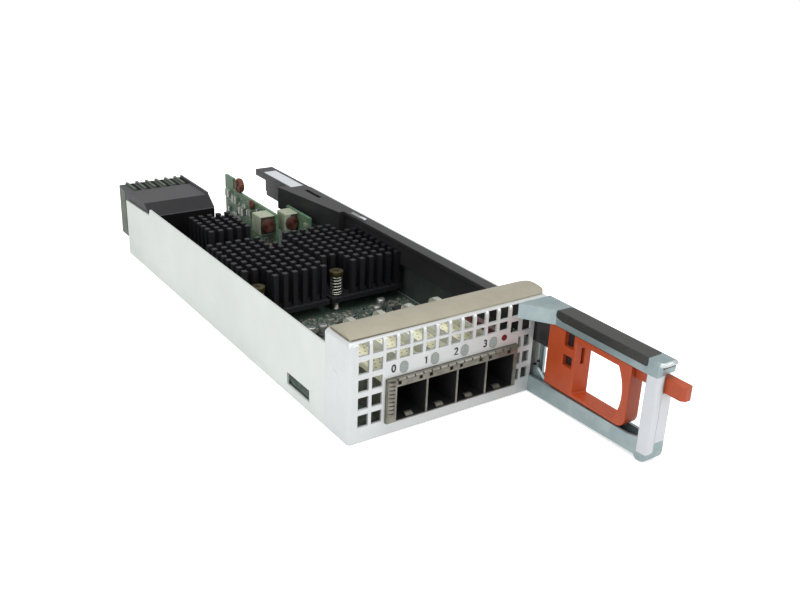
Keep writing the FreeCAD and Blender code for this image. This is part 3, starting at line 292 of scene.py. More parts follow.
# %% [markdown]
# ## The grain
#
# A mould leaves a fine even roughness, and rolling draws it out into streaks. Both are one noise whose
# place is multiplied by a stretch first. It gives only heights, which a Bump node in the material turns
# into relief.

# %% Grain
def grain_group():
    """The heights of a fine grain, which can be stretched along the axes."""
    group, given, result = new_group("grain", [
        ("Scale", "NodeSocketFloat", 2500.0),
        ("Stretch", "NodeSocketVector", (1.0, 1.0, 1.0)),
    ], [("Height", "NodeSocketFloat")])
    place = node(group, "TexCoord")
    stretched = node(group, "VectorMath", operation="MULTIPLY")
    noise = node(group, "TexNoise", Detail=3.0, Roughness=0.55)
    links = group.links
    links.new(place.outputs["Object"], stretched.inputs[0])
    links.new(given.outputs["Stretch"], stretched.inputs[1])
    links.new(stretched.outputs[0], noise.inputs["Vector"])
    links.new(given.outputs["Scale"], noise.inputs["Scale"])
    links.new(noise.outputs["Fac"], result.inputs["Height"])
    return group


GRAIN = grain_group()
print("effect:", GRAIN.name)


# %% [markdown]
# ## How a finish is made
#
# Each finish is a Principled shader. Its colour and its roughness follow the clouds of the mottle, and
# its surface rises and falls with the grain. One helper builds them all, so that a finish is no more than
# its own values.

# %% Finish helpers
FINISHES = {}


def finish(name, main, second, metal=0.0, rough=0.5, mottle_scale=60.0, mottle=0.5, grain_scale=2500.0,
           stretch=(1, 1, 1), bump=0.1, depth=0.00002, rough_spread=0.1, **sockets):
    """A finish clouded with a second colour. Any other keyword is a socket of its shader."""
    material, tree, shader = new_material(name)
    clouds = node(tree, "Group", node_tree=MOTTLE)
    clouds.inputs["Colour"].default_value = main
    clouds.inputs["Second Colour"].default_value = second
    clouds.inputs["Scale"].default_value = mottle_scale
    clouds.inputs["Amount"].default_value = mottle
    tree.links.new(clouds.outputs["Colour"], shader.inputs["Base Color"])
    sheen = node(tree, "MapRange")
    sheen.inputs["To Min"].default_value = rough - rough_spread / 2
    sheen.inputs["To Max"].default_value = rough + rough_spread / 2
    tree.links.new(clouds.outputs["Mask"], sheen.inputs["Value"])
    tree.links.new(sheen.outputs[0], shader.inputs["Roughness"])
    grain = node(tree, "Group", node_tree=GRAIN)
    grain.inputs["Scale"].default_value = grain_scale
    grain.inputs["Stretch"].default_value = stretch
    relief = node(tree, "Bump", Strength=bump, Distance=depth)
    tree.links.new(grain.outputs["Height"], relief.inputs["Height"])
    tree.links.new(relief.outputs[0], shader.inputs["Normal"])
    shader.inputs["Metallic"].default_value = metal
    for socket, value in sockets.items():
        shader.inputs[socket.replace("_", " ")].default_value = value
    FINISHES[name] = material


def plastic(name, level, **values):
    """A finish in a neutral grey of that level, a touch cooler than grey."""
    finish(name, colour(level, level, level + 2), colour(level + 12, level + 12, level + 14), **values)


print("finish helpers ready")


# %% [markdown]
# ## Sheet metal and shielding
#
# Tray and bezel are rolled steel under a dull pale plating, so they are only half metallic. The handle's
# zinc is bluer and shinier, the port cage is tarnished, and the gasket is a fabric with a metal thread.

# %% Sheet metal and shielding
finish("tray_steel", colour(213, 218, 214), colour(198, 204, 201), metal=0.5, rough=0.45, mottle_scale=25,
       grain_scale=900, stretch=(1, 0.2, 1), bump=0.15)
finish("bezel_steel", colour(211, 214, 214), colour(196, 200, 200), metal=0.45, rough=0.42, mottle_scale=40,
       grain_scale=900, bump=0.12)
finish("zinc_plate", colour(162, 177, 178), colour(138, 156, 160), metal=0.65, rough=0.34, mottle_scale=120,
       mottle=0.8)
# A pale metal: polish on the rail clip, and a painted highlight on the handle's rolled lip
finish("polish_and_highlight", colour(206, 213, 213), colour(188, 198, 200), metal=0.3, rough=0.32, mottle_scale=200)
# A dark steel of painted reflection and shade, for the right wall's inner side
finish("reflection_shade_steel", colour(92, 102, 98), colour(66, 76, 72), metal=0.6, rough=0.4, mottle_scale=60,
       mottle=0.8)
finish("cage_metal", colour(146, 144, 134), colour(104, 101, 92), metal=0.7, rough=0.42, mottle_scale=160,
       mottle=0.8)
# The cage roof's pale colour and faint glow are painted light against the shade under the bezel's flange
finish("glowing_cage_roof", colour(244, 242, 214), colour(214, 211, 180), metal=0.1, rough=0.5, mottle_scale=260,
       mottle=0.9, Emission_Color=colour(235, 232, 205), Emission_Strength=0.12)
# The grey of the roof's holes is painted shade
finish("hole_shade_grey", colour(160, 157, 136), colour(140, 137, 118), rough=0.6, mottle_scale=300)
finish("shielding_fabric", colour(160, 155, 138), colour(148, 142, 125), metal=0.2, rough=0.55,
       mottle_scale=120, mottle=0.6, grain_scale=2600, bump=0.3)
finish("gasket_shade", colour(112, 105, 88), colour(96, 90, 74), rough=0.7, mottle_scale=200)
print("finishes so far:", len(FINISHES))


# %% [markdown]
# ## Small metal parts
#
# Screws, springs, cans and contacts are bare metal, so they are nearly wholly metallic and differ in
# colour and roughness. Enamelled copper wire and black anodising wear a film over the metal, and show
# much less of it.

# %% Small metal parts
finish("fastener_steel", colour(190, 192, 190), colour(150, 152, 150), metal=0.9, rough=0.35)
finish("screw_brass", colour(92, 84, 52), colour(64, 58, 36), metal=0.8, rough=0.4, mottle_scale=200)
finish("spring_steel", colour(196, 196, 188), colour(150, 150, 142), metal=0.9, rough=0.3)
finish("spring_bright", colour(190, 188, 180), colour(150, 148, 140), metal=0.8, rough=0.35)
finish("can_tin", colour(176, 178, 174), colour(140, 142, 138), metal=0.8, rough=0.38)
finish("tinned", colour(214, 218, 214), colour(168, 174, 170), metal=0.75, rough=0.35)
finish("gilt", colour(180, 150, 80), colour(150, 120, 60), metal=0.9, rough=0.3)
finish("copper", colour(112, 62, 44), colour(60, 36, 28), metal=0.4, rough=0.4, mottle_scale=400)
finish("copper_dark", colour(96, 52, 42), colour(60, 32, 28), metal=0.3, rough=0.45, mottle_scale=400)
finish("black_anodised", colour(20, 20, 24), colour(26, 26, 31), metal=0.1, rough=0.5, mottle_scale=90)
print("finishes so far:", len(FINISHES))


# %% [markdown]
# ## Laminate and board parts
#
# A board's green is a lacquer over copper, and a fine, strong mottle of a paler green stands in for its
# tracks. Its small parts are fired ceramic, moulded black bodies and pressed cream cores.

# %% Laminate and board parts
finish("board_green", colour(34, 54, 46), colour(104, 118, 108), rough=0.4, mottle_scale=900, mottle=0.75,
       grain_scale=700, bump=0.3)
finish("card_green", colour(66, 104, 78), colour(116, 138, 110), rough=0.45, mottle_scale=500, mottle=0.7)
finish("wafer_green", colour(78, 92, 74), colour(52, 64, 50), rough=0.5, mottle_scale=150)
finish("ceramic", colour(150, 142, 124), colour(118, 108, 92), rough=0.5)
finish("core_cream", colour(160, 168, 146), colour(128, 136, 116), rough=0.55, mottle_scale=200)
finish("core_shadow", colour(62, 50, 40), colour(40, 34, 30), rough=0.6, mottle_scale=300)
plastic("chip_black", 34, rough=0.6)
plastic("resistor", 30, rough=0.45)
print("finishes so far:", len(FINISHES))


# %% [markdown]
# ## Plastics, labels and dark places
#
# Moulded plastics are plain colours with a grain, and the light pipes let some light through. Deep places
# lie in shade, and get a painted black with almost no shine, because at a flat angle even black plastic
# mirrors the white room.
# Last, each solid takes the finish that the record names for it.

# %% Plastics, labels and dark places
finish("trigger_orange", colour(170, 68, 26), colour(156, 58, 22), rough=0.45, mottle_scale=80,
       grain_scale=1600, bump=0.2)
finish("light_pipe_grey", colour(216, 219, 208), colour(196, 200, 188), rough=0.22, Transmission_Weight=0.6,
       IOR=1.45)
finish("lens_grey", colour(142, 150, 147), colour(124, 132, 129), rough=0.3, mottle_scale=400)
finish("lamp_white", colour(235, 235, 225), colour(220, 215, 190), rough=0.3)
finish("fault_red", colour(104, 30, 34), colour(76, 18, 22), rough=0.25, Transmission_Weight=0.2, IOR=1.5)
plastic("rail_black", 32, rough=0.45, mottle_scale=60)
plastic("connector_grey", 60, rough=0.6, mottle_scale=50)
plastic("connector_shade", 30, rough=0.6, mottle_scale=50, Specular_IOR_Level=0.25)
plastic("socket_black", 12, rough=0.5)
plastic("port_dark", 30, rough=0.45, mottle_scale=200)
plastic("print_black", 34, rough=0.6)
plastic("shade_black", 12, rough=0.7, Specular_IOR_Level=0.1)
finish("label_black", colour(40, 40, 38), colour(50, 50, 47), rough=0.36, bump=0.05)
finish("label_white", colour(200, 203, 207), colour(190, 193, 198), rough=0.5, bump=0.05)

for entry in frame["record"]["subparts"]:
    solid = nodes[entry["node"]]
    solid.data.materials.clear()
    solid.data.materials.append(FINISHES[entry["material_slot"]])


# %% [markdown]
# ## Building from given points
#
# Small pieces are drawn in code, in millimetres. Five helpers draw nearly all of them: a block with its
# edges taken off, a plate from an outline, a band along a path, a round wire and a turned shape.
# Blender's own primitives could do some of it, but these take plain corners and points, as a drawing
# gives them.

# %% Blocks, plates and bands
BLOCK_FACES = ((0, 1, 3, 2), (4, 6, 7, 5), (0, 4, 5, 1), (2, 3, 7, 6), (0, 2, 6, 4), (1, 5, 7, 3))


def block(mesh, low, high, edge=0.0):
    """A block between two corners, with its edges taken off by edge."""
    corners = [mesh.verts.new((x, y, z)) for x in (low[0], high[0]) for y in (low[1], high[1])
               for z in (low[2], high[2])]
    faces = [mesh.faces.new([corners[i] for i in ring]) for ring in BLOCK_FACES]
    if edge:
        edges = {side for face in faces for side in face.edges}
        bmesh.ops.bevel(mesh, geom=list(edges), offset=edge, segments=1, affect="EDGES", profile=0.5)


def plate(mesh, outline, lift):
    """A flat plate: the outline is a list of points in space, and lift is the step to its other side."""
    lower = [mesh.verts.new(point) for point in outline]
    upper = [mesh.verts.new(Vector(point) + Vector(lift)) for point in outline]
    mesh.faces.new(lower[::-1])
    mesh.faces.new(upper)
    for index in range(len(outline)):
        after = (index + 1) % len(outline)
        mesh.faces.new((lower[index], lower[after], upper[after], upper[index]))


def band(mesh, edges, lifts, closed=False):
    """A band along a path: edges are pairs of points across it, lifts the steps to its other face."""
    rows = []
    for (near, far), lift in zip(edges, lifts):
        near, far, lift = Vector(near), Vector(far), Vector(lift)
        rows.append([mesh.verts.new(point) for point in (near, far, far + lift, near + lift)])
    pairs = list(zip(rows, rows[1:]))
    if closed:
        pairs.append((rows[-1], rows[0]))
    else:
        mesh.faces.new(rows[0][::-1])
        mesh.faces.new(rows[-1])
    for row, following in pairs:
        for corner in range(4):
            after = (corner + 1) % 4
            mesh.faces.new((row[corner], row[after], following[after], following[corner]))


print("helpers: block, plate and band")


# %% [markdown]
# ## Round shapes
#
# Wires and turned shapes are both a row of rings with faces between them, and differ only in where the
# rings stand. A wire's rings follow its path without twisting, which a plain curve object does too, but a
# mesh can be joined with others in one piece.

# %% Wires, turned shapes and arcs
def skin(mesh, rings):
    """Faces from each ring of corners to the next, and a lid at both ends."""
    count = len(rings[0])
    for ring, following in zip(rings, rings[1:]):
        for step in range(count):
            after = (step + 1) % count
            mesh.faces.new((ring[step], ring[after], following[after], following[step]))
    mesh.faces.new(rings[0][::-1])
    mesh.faces.new(rings[-1])


def tube(mesh, path, radius, sides=8):
    """A round wire along a path of points, closed at both ends."""
    path = [Vector(point) for point in path]
    rings = []
    up = None
    for index, point in enumerate(path):
        ahead = path[min(index + 1, len(path) - 1)] - path[max(index - 1, 0)]
        ahead.normalize()
        if up is None:
            up = ahead.orthogonal().normalized()
        up = (up - ahead * up.dot(ahead)).normalized()
        side = ahead.cross(up)
        rings.append([mesh.verts.new(point + radius * (math.cos(turn) * up + math.sin(turn) * side))
                      for turn in (math.tau * step / sides for step in range(sides))])
    skin(mesh, rings)


def turned(mesh, centre, profile, steps=24):
    """A shape turned about an upright axis: the profile is (radius, height) from bottom to top."""
    turns = [math.tau * step / steps for step in range(steps)]
    skin(mesh, [[mesh.verts.new((centre[0] + radius * math.cos(turn), centre[1] + radius * math.sin(turn),
                                 centre[2] + height)) for turn in turns] for radius, height in profile])


def arc(centre, radii, start, end, steps=10):
    """Points of an arc in two directions, with its angles in degrees."""
    return [(centre[0] + radii[0] * math.cos(math.radians(start + (end - start) * step / steps)),
             centre[1] + radii[1] * math.sin(math.radians(start + (end - start) * step / steps)))
            for step in range(steps + 1)]


print("helpers: tube, turned and arc")


# %% [markdown]
# ## From a drawing to a piece
#
# A finished drawing becomes an object in metres, rides on the body that carries it and takes its finish.
# Where a piece stands on solids that were built as one node, such as four equal springs, their places are
# measured on the node itself and not written again.

# %% Piece helpers
WELD_REACH = 0.002


def piece(name, mesh, material, body="module", smooth=False):
    """Turns what was drawn into an object in metres that rides on a body and takes a finish."""
    bmesh.ops.recalc_face_normals(mesh, faces=mesh.faces)
    bmesh.ops.scale(mesh, vec=(MM, MM, MM), verts=mesh.verts)
    data = bpy.data.meshes.new(name)
    mesh.to_mesh(data)
    mesh.free()
    data.materials.append(FINISHES[material])
    for face in data.polygons:
        face.use_smooth = smooth
    item = bpy.data.objects.new(name, data)
    scene.collection.objects.link(item)
    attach(item, body)
    return item


def separate_boxes(name):
    """The (low, high) corners in millimetres of each separate solid of a node."""
    mesh = bmesh.new()
    mesh.from_mesh(nodes[name].data)
    bmesh.ops.remove_doubles(mesh, verts=mesh.verts, dist=WELD_REACH * MM)
    left = set(mesh.verts)
    boxes = []
    while left:
        waiting = [left.pop()]
        places = []
        while waiting:
            vertex = waiting.pop()
            places.append(vertex.co / MM)
            for edge in vertex.link_edges:
                other = edge.other_vert(vertex)
                if other in left:
                    left.remove(other)
                    waiting.append(other)
        boxes.append((Vector(map(min, zip(*places))), Vector(map(max, zip(*places)))))
    mesh.free()
    return sorted(boxes, key=lambda box: tuple(box[0]))


# %% [markdown]
# ## Softer edges on the solids
#
# Folded sheet and moulded plastic never have knife edges. The solids' own vertices stay as they are, and
# a weld and a narrow bevel are laid over them, so that every edge catches a thin line of light.

# %% Edge softening
SOFT_EDGES = {
    "tray": 0.15, "front_bezel": 0.12, "handle_bracket": 0.25, "trigger": 0.5, "latch_bar": 0.4,
    "side_rail": 0.3, "rear_connector": 0.35, "emi_gasket": 0.35, "power_inductors": 0.5, "chip_left": 0.2,
    "chip_right": 0.2, "chip_small": 0.2, "board_chips": 0.15, "board_screws": 0.4, "sink_screws": 0.4,
    "connector_wafers": 0.1, "rail_clip": 0.1, "handle_rivets": 0.2, "heat_sink_left": 0.15,
    "heat_sink_right": 0.15, "heat_sink_small": 0.15,
}
SHARP_TURN = math.radians(32)
for name, width in SOFT_EDGES.items():
    weld = nodes[name].modifiers.new("weld", "WELD")
    weld.merge_threshold = WELD_REACH * MM
    bevel = nodes[name].modifiers.new("bevel", "BEVEL")
    bevel.width = width * MM
    bevel.segments = 2
    bevel.limit_method = "ANGLE"
    bevel.angle_limit = SHARP_TURN
    bevel.use_clamp_overlap = True
    bevel.harden_normals = False
print("edges softened on", len(SOFT_EDGES), "solids")


# %% [markdown]
# ## Port digits
#
# Digits beside the lenses count the ports. A text object would bring a typeface with it, so each digit is
# a bold stroke along a few points, a few hundredths of a millimetre proud, like screen print.

# %% Port digits
PORT_COUNT = 4
LEFT_FACE = -47.5
DIGIT_INSETS = (19.5, 34.4, 48.8, 63.3)
DIGIT_LEVEL = 27.9
DIGIT_HEIGHT = 3.4
DIGIT_STROKE = 0.72
INK = 0.03
# Strokes in a square of height 1 whose origin is at the digit's middle
DIGITS = (
    (arc((0, 0), (0.22, 0.41), 0, 360, 24)[:-1],),
    ([(-0.16, 0.2), (0.06, 0.4), (0.06, -0.5)],),
    (arc((0, 0.19), (0.21, 0.22), 165, -28) + [(-0.2, -0.41), (0.3, -0.41)],),
    (arc((-0.01, 0.2), (0.2, 0.2), 150, -90) + arc((-0.01, -0.2), (0.22, 0.21), 90, -150)[1:],),
)


def stroke(mesh, path, middle, closed):
    """A bold stroke on the bezel's face along a path (x, z) whose origin lies on middle."""
    edges = []
    count = len(path)
    for index in range(count):
        before = Vector(path[index - 1] if closed or index else path[0])
        after = Vector(path[(index + 1) % count] if closed or index < count - 1 else path[-1])
        along = (after - before).normalized()
        across = Vector((-along.y, along.x)) * DIGIT_STROKE / 2
        x, z = path[index][0] * DIGIT_HEIGHT, path[index][1] * DIGIT_HEIGHT
        edges.append(((middle[0] + x - across.x, -INK, middle[1] + z - across.y),
                      (middle[0] + x + across.x, -INK, middle[1] + z + across.y)))
    band(mesh, edges, [(0, 2 * INK, 0)] * count, closed)


for order, inset in enumerate(DIGIT_INSETS):
    mesh = bmesh.new()
    for path in DIGITS[order]:
        stroke(mesh, path, (LEFT_FACE + inset, DIGIT_LEVEL), order == 0)
    piece(f"port_digit_{order}", mesh, "print_black")
print("digits:", len(DIGIT_INSETS))


# %% [markdown]
# ## Lenses
#
# Each light pipe ends in a lens that looks grey on the bezel, though the pipe behind it is nearly clear.
# A thin plate with round corners stands in front of each pipe and carries that grey.

# %% Lens faces
LENS_INSET = 24.2
LENS_PITCH = 14.4
LENS_LEVEL = 27.5
LENS_REACH = (0.05, 0.6)
LENS_CORNER = 1.75
LENS_FRONT = -0.28
LENS_SHEET = 0.06
mesh = bmesh.new()
for port in range(PORT_COUNT):
    middle = LEFT_FACE + LENS_INSET + LENS_PITCH * port
    outline = []
    for right, up, start in ((1, 1, 0), (-1, 1, 90), (-1, -1, 180), (1, -1, 270)):
        centre = (middle + right * LENS_REACH[0], LENS_LEVEL + up * LENS_REACH[1])
        corner = arc(centre, (LENS_CORNER, LENS_CORNER), start, start + 90, 5)
        outline += [(x, LENS_FRONT, z) for x, z in corner]
    plate(mesh, outline, (0, -LENS_SHEET, 0))
piece("lens_faces", mesh, "lens_grey")
print("lenses:", PORT_COUNT)


# %% [markdown]
# ## The pressed dimple and two screws
#
# A shallow dimple stiffens the bezel's folded side. It is half of a flattened ball, drawn in rings from
# its crown to its rim. Two tiny dark screws hold the brace at the bezel's right end.

# %% Dimple and brace screws
DIMPLE_PLACE = (10.2, 24.3)
DIMPLE_RADII = (3.2, 3.5)
DIMPLE_HEIGHT = 0.5
DIMPLE_FOOT = LEFT_FACE + 0.05
DIMPLE_RINGS = 8
DIMPLE_STEPS = 24
mesh = bmesh.new()
dome = []
for ring in range(1, DIMPLE_RINGS + 1):
    slope = 0.5 * math.pi * ring / DIMPLE_RINGS
    turns = [math.tau * step / DIMPLE_STEPS for step in range(DIMPLE_STEPS)]
    dome.append([mesh.verts.new((
        DIMPLE_FOOT - DIMPLE_HEIGHT * math.cos(slope),
        DIMPLE_PLACE[0] + DIMPLE_RADII[0] * math.sin(slope) * math.cos(turn),
        DIMPLE_PLACE[1] + DIMPLE_RADII[1] * math.sin(slope) * math.sin(turn))) for turn in turns])
crown = mesh.verts.new((DIMPLE_FOOT - DIMPLE_HEIGHT, *DIMPLE_PLACE))
for step in range(DIMPLE_STEPS):
    after = (step + 1) % DIMPLE_STEPS
    mesh.faces.new((crown, dome[0][step], dome[0][after]))
    for inner, outer in zip(dome, dome[1:]):
        mesh.faces.new((inner[step], outer[step], outer[after], inner[after]))
mesh.faces.new(dome[-1])
piece("return_dimple", mesh, "bezel_steel", smooth=True)

BRACE_MIDDLE = 43.4
BRACE_SCREWS = ((-0.65, 12.15), (-2.7, 14.3))
BRACE_PROFILE = ((0.35, -0.35), (0.75, -0.2), (0.75, 0.2), (0.35, 0.35))
mesh = bmesh.new()
for y, z in BRACE_SCREWS:
    turned(mesh, (BRACE_MIDDLE, y, z), BRACE_PROFILE, steps=12)
piece("brace_screws", mesh, "shade_black", smooth=True)
print("a dimple and", len(BRACE_SCREWS), "screws")


# %% [markdown]
# ## Inside the ports
#
# Behind their bright front edges the ports look black, because they lie in shade. Darkening the whole cage
# would lose the edges, so each port is lined with a dark sheet of painted shade that starts a little behind
# them.

# %% Painted shade in the ports
PORT_PITCH = 14.6
PORT_LEFT = -26.85
PORT_WIDTH = 13.8
PORT_FLOOR = 5.6
PORT_ROOF = 20.2
PORT_SHADE_FRONT, PORT_SHADE_BACK = -0.95, 20.1
PORT_SHADE_SHEET = 0.12
PORT_SHADE_GAP = 0.01
mesh = bmesh.new()
for port in range(PORT_COUNT):
    left = PORT_LEFT + PORT_PITCH * port
    right = left + PORT_WIDTH
    corners = ((left, PORT_FLOOR, 1, 1), (right, PORT_FLOOR, -1, 1), (right, PORT_ROOF, -1, -1),
               (left, PORT_ROOF, 1, -1))
    inside = [(x + PORT_SHADE_GAP * a, z + PORT_SHADE_GAP * b) for x, z, a, b in corners]
    band(mesh, [((x, PORT_SHADE_FRONT, z), (x, PORT_SHADE_BACK, z)) for x, z in inside],
         [(PORT_SHADE_SHEET * a, 0, PORT_SHADE_SHEET * b) for _, _, a, b in corners], closed=True)
piece("port_shade_sheets", mesh, "port_dark")
print("linings:", PORT_COUNT)


# %% [markdown]
# ## Tongues and contacts
#
# A bowed tongue in each port's floor grounds the plug. It rises like half a wave, to a power a little
# above one, so that its ends lie flatter. Gilt contacts lie on both sides of the receptacle's blade.

# %% Port tongues and contacts
TONGUE_FRONT = -0.5
TONGUE_STEP = 0.36
TONGUE_STEPS = 10
TONGUE_FOOT = PORT_FLOOR + 0.15
TONGUE_RISE = 0.8
TONGUE_BEND = 1.3
TONGUE_HALF = 1.7
TONGUE_SHEET = 0.2
bow = [(TONGUE_FRONT + TONGUE_STEP * step,
        TONGUE_FOOT + TONGUE_RISE * math.sin(math.pi * step / TONGUE_STEPS) ** TONGUE_BEND)
       for step in range(TONGUE_STEPS + 1)]
mesh = bmesh.new()
for port in range(PORT_COUNT):
    middle = PORT_LEFT + PORT_PITCH * port + PORT_WIDTH / 2
    band(mesh, [((middle - TONGUE_HALF, y, z), (middle + TONGUE_HALF, y, z)) for y, z in bow],
         [(0, 0, TONGUE_SHEET)] * len(bow))
piece("port_tongues", mesh, "cage_metal")

CONTACTS = 10
CONTACT_PITCH = 0.8
CONTACT_WIDTH = 0.4
CONTACT_FRONT, CONTACT_BACK = 20.3, 30.0
# The two sides of the blade, each as the contacts' lower and upper level
BLADE_SIDES = ((13.5, 13.62), (11.98, 12.1))
mesh = bmesh.new()
for port in range(PORT_COUNT):
    middle = PORT_LEFT + PORT_PITCH * port + PORT_WIDTH / 2
    for contact in range(CONTACTS):
        left = middle + CONTACT_PITCH * (contact - CONTACTS / 2)
        for lower, upper in BLADE_SIDES:
            block(mesh, (left, CONTACT_FRONT, lower), (left + CONTACT_WIDTH, CONTACT_BACK, upper))
piece("port_contacts", mesh, "gilt")
print("contacts:", PORT_COUNT * CONTACTS * len(BLADE_SIDES))


# %% [markdown]
# ## Spring fingers round the cage
#
# A row of curved fingers at the left of the cage and another along its top press against the bezel. Each
# finger is a thin band bowed like half a wave. The left ones narrow towards their tips and share one
# strip, which replaces the plain strip among the solids.

# %% Spring fingers
CAGE_FACE = -1.2
FINGERS = 9
FINGER_LOW, FINGER_HIGH = 8.0, 23.2
FINGER_LEFT = LEFT_FACE + 16.5
FINGER_STEPS = 9
FINGER_STEP = 0.37
FINGER_BOW = 0.75
FINGER_TAPER = 0.5
FINGER_GAP = 0.3
FINGER_SHEET = 0.15
FINGER_START = CAGE_FACE - 0.1
STRIP_LEFT, STRIP_RIGHT, STRIP_FRONT = LEFT_FACE + 16.35, LEFT_FACE + 16.9, -1.5
pitch = (FINGER_HIGH - FINGER_LOW) / FINGERS
half = (pitch - FINGER_GAP) / 2
bow = [(FINGER_LEFT + FINGER_STEP * step,
        FINGER_START - FINGER_BOW * math.sin(math.pi * step / FINGER_STEPS),
        half * (1 - FINGER_TAPER * step / FINGER_STEPS)) for step in range(FINGER_STEPS + 1)]
mesh = bmesh.new()
for finger in range(FINGERS):
    middle = FINGER_LOW + pitch * (finger + 0.5)
    band(mesh, [((x, y, middle - reach), (x, y, middle + reach)) for x, y, reach in bow],
         [(0, -FINGER_SHEET, 0)] * len(bow))
block(mesh, (STRIP_LEFT, STRIP_FRONT, FINGER_LOW), (STRIP_RIGHT, CAGE_FACE + 0.05, FINGER_HIGH))
strip = piece("side_fingers", mesh, "cage_metal")
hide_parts("cage_spring_strip")

TOP_FINGERS = 15
TOP_LEFT, TOP_RIGHT = LEFT_FACE + 20.6, LEFT_FACE + 79.6
TOP_LEVEL = 22.55
TOP_STEPS = 6
TOP_STEP = 0.24
TOP_BOW = 0.55
TOP_GAP = 0.6
TOP_SHEET = 0.12
TOP_START = CAGE_FACE - 0.05
pitch = (TOP_RIGHT - TOP_LEFT) / TOP_FINGERS
bow = [(TOP_START - TOP_BOW * math.sin(math.pi * step / TOP_STEPS), TOP_LEVEL + TOP_STEP * step)
       for step in range(TOP_STEPS + 1)]
mesh = bmesh.new()
for finger in range(TOP_FINGERS):
    left = TOP_LEFT + pitch * finger + TOP_GAP / 2
    right = left + pitch - TOP_GAP
    band(mesh, [((left, y, z), (right, y, z)) for y, z in bow], [(0, -TOP_SHEET, 0)] * len(bow))
piece("top_fingers", mesh, "cage_metal")
print("fingers:", FINGERS, "at the left and", TOP_FINGERS, "on top")


# %% [markdown]
# ## The cage's roof
#
# A pale pierced cover closes the cage. Its pale colour and faint glow are painted light, which lifts the
# shade that the bezel's flange casts on it. Cutting some 250 holes would cost many triangles for little, so
# each hole is a flat grey disc of painted shade that stands a trace above the cover, in staggered rows.

# %% Cage roof
TUNNEL_TOP = 21.0
ROOF_TOP = 23.7
ROOF_LEFT, ROOF_RIGHT = LEFT_FACE + 16.4, LEFT_FACE + 79.9
ROOF_FRONT, ROOF_BACK = 2.3, 36.9
mesh = bmesh.new()
block(mesh, (ROOF_LEFT, ROOF_FRONT, TUNNEL_TOP), (ROOF_RIGHT, ROOF_BACK, ROOF_TOP), edge=0.3)
piece("glowing_cage_roof", mesh, "glowing_cage_roof")

# Each hole is a grey disc of painted shade
HOLE_COLUMNS, HOLE_ROWS = 23, 11
HOLE_PITCH, ROW_PITCH = 2.6, 2.8
HOLE_LEFT, HOLE_FRONT = LEFT_FACE + 18.6, 5.2
HOLE_PROFILE = ((0.42, -0.1), (0.42, 0.03))
mesh = bmesh.new()
for column in range(HOLE_COLUMNS):
    for row in range(HOLE_ROWS):
        x = HOLE_LEFT + HOLE_PITCH * column + HOLE_PITCH / 2 * (row % 2)
        turned(mesh, (x, HOLE_FRONT + ROW_PITCH * row, ROOF_TOP), HOLE_PROFILE, steps=8)
piece("cage_holes", mesh, "hole_shade_grey")
print("holes in the roof:", HOLE_COLUMNS * HOLE_ROWS)


# %% [markdown]
# ## Small parts on the board
#
# A board is busy with hundreds of tiny parts. Placing them one by one would take a day, so they are
# scattered by chance over the free areas, with a fixed seed that gives the same board on every run. They
# keep clear of one another and of the chips, cans, lamps, screws, sinks and cards.

# %% Room on the board
BOARD_TOP = 5.2
# Left, right, front and back of each free area, and how many places are tried in it
FREE_AREAS = (
    (-44.0, 39.0, 40.0, 98.0, 620),
    (-43.0, 6.0, 56.0, 99.4, 800),
    (6.0, 44.0, 66.0, 99.4, 600),
    (-45.0, -38.0, 96.0, 200.0, 150),
    (-44.0, -28.5, 158.0, 202.0, 90),
    (4.0, 27.0, 154.0, 230.0, 260),
    (-8.0, 14.0, 200.0, 240.0, 120),
)
PART_GAP = 0.25
CHIP_GAP = 0.4


def room_for(x, y, length, width):
    """The rectangle of a part with the gap that it keeps round itself."""
    return x - PART_GAP, y - PART_GAP, x + length + PART_GAP, y + width + PART_GAP


def crowded(spot, taken):
    """Whether a rectangle (left, front, right, back) meets any that is taken."""
    return any(spot[0] < box[2] and spot[2] > box[0] and spot[1] < box[3] and spot[3] > box[1]
               for box in taken)


taken = []
for name in ("board_chips", "board_capacitors", "board_leds", "board_screws"):
    for low, high in separate_boxes(name):
        taken.append((low.x - CHIP_GAP, low.y - CHIP_GAP, high.x + CHIP_GAP, high.y + CHIP_GAP))
for name in ("heat_sink_left", "heat_sink_right", "heat_sink_small", "power_card_left", "power_card_right",
             "rear_connector", "port_cage"):
    low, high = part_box(name)
    taken.append((low.x / MM, low.y / MM, high.x / MM, high.y / MM))
print("places taken before the small parts:", len(taken))


# %% [markdown]
# ## Bodies and tinned ends
#
# Each small part is a body between two tinned ends, which are a trace fatter than the body. All bodies of
# one finish share one mesh, because hundreds of objects would only slow the scene down.

# %% Small parts on the board
random.seed(14)
PART_SIZES = ((1.6, 0.8, 0.5), (1.0, 0.5, 0.4), (2.0, 1.25, 0.8), (3.2, 1.6, 1.0))
PART_LOOKS = ("ceramic", "ceramic", "resistor")
TIN = 0.02
TINNED_SHARE = 0.24
bodies = {"ceramic": bmesh.new(), "resistor": bmesh.new(), "tinned": bmesh.new()}
placed = 0
for left, right, front, back, count in FREE_AREAS:
    for _ in range(count):
        length, width, height = random.choice(PART_SIZES)
        if random.random() < 0.5:
            length, width = width, length
        x = random.uniform(left, right - length)
        y = random.uniform(front, back - width)
        spot = room_for(x, y, length, width)
        if crowded(spot, taken):
            continue
        taken.append(spot)
        placed += 1
        top = BOARD_TOP + height
        block(bodies[random.choice(PART_LOOKS)], (x, y, BOARD_TOP), (x + length, y + width, top))
        end = TINNED_SHARE * max(length, width)
        if length > width:
            ends = [((near, y - TIN), (near + end + TIN, y + width + TIN))
                    for near in (x - TIN, x + length - end)]
        else:
            ends = [((x - TIN, near), (x + length + TIN, near + end + TIN))
                    for near in (y - TIN, y + width - end)]
        for low, high in ends:
            block(bodies["tinned"], (*low, BOARD_TOP), (*high, top + TIN))
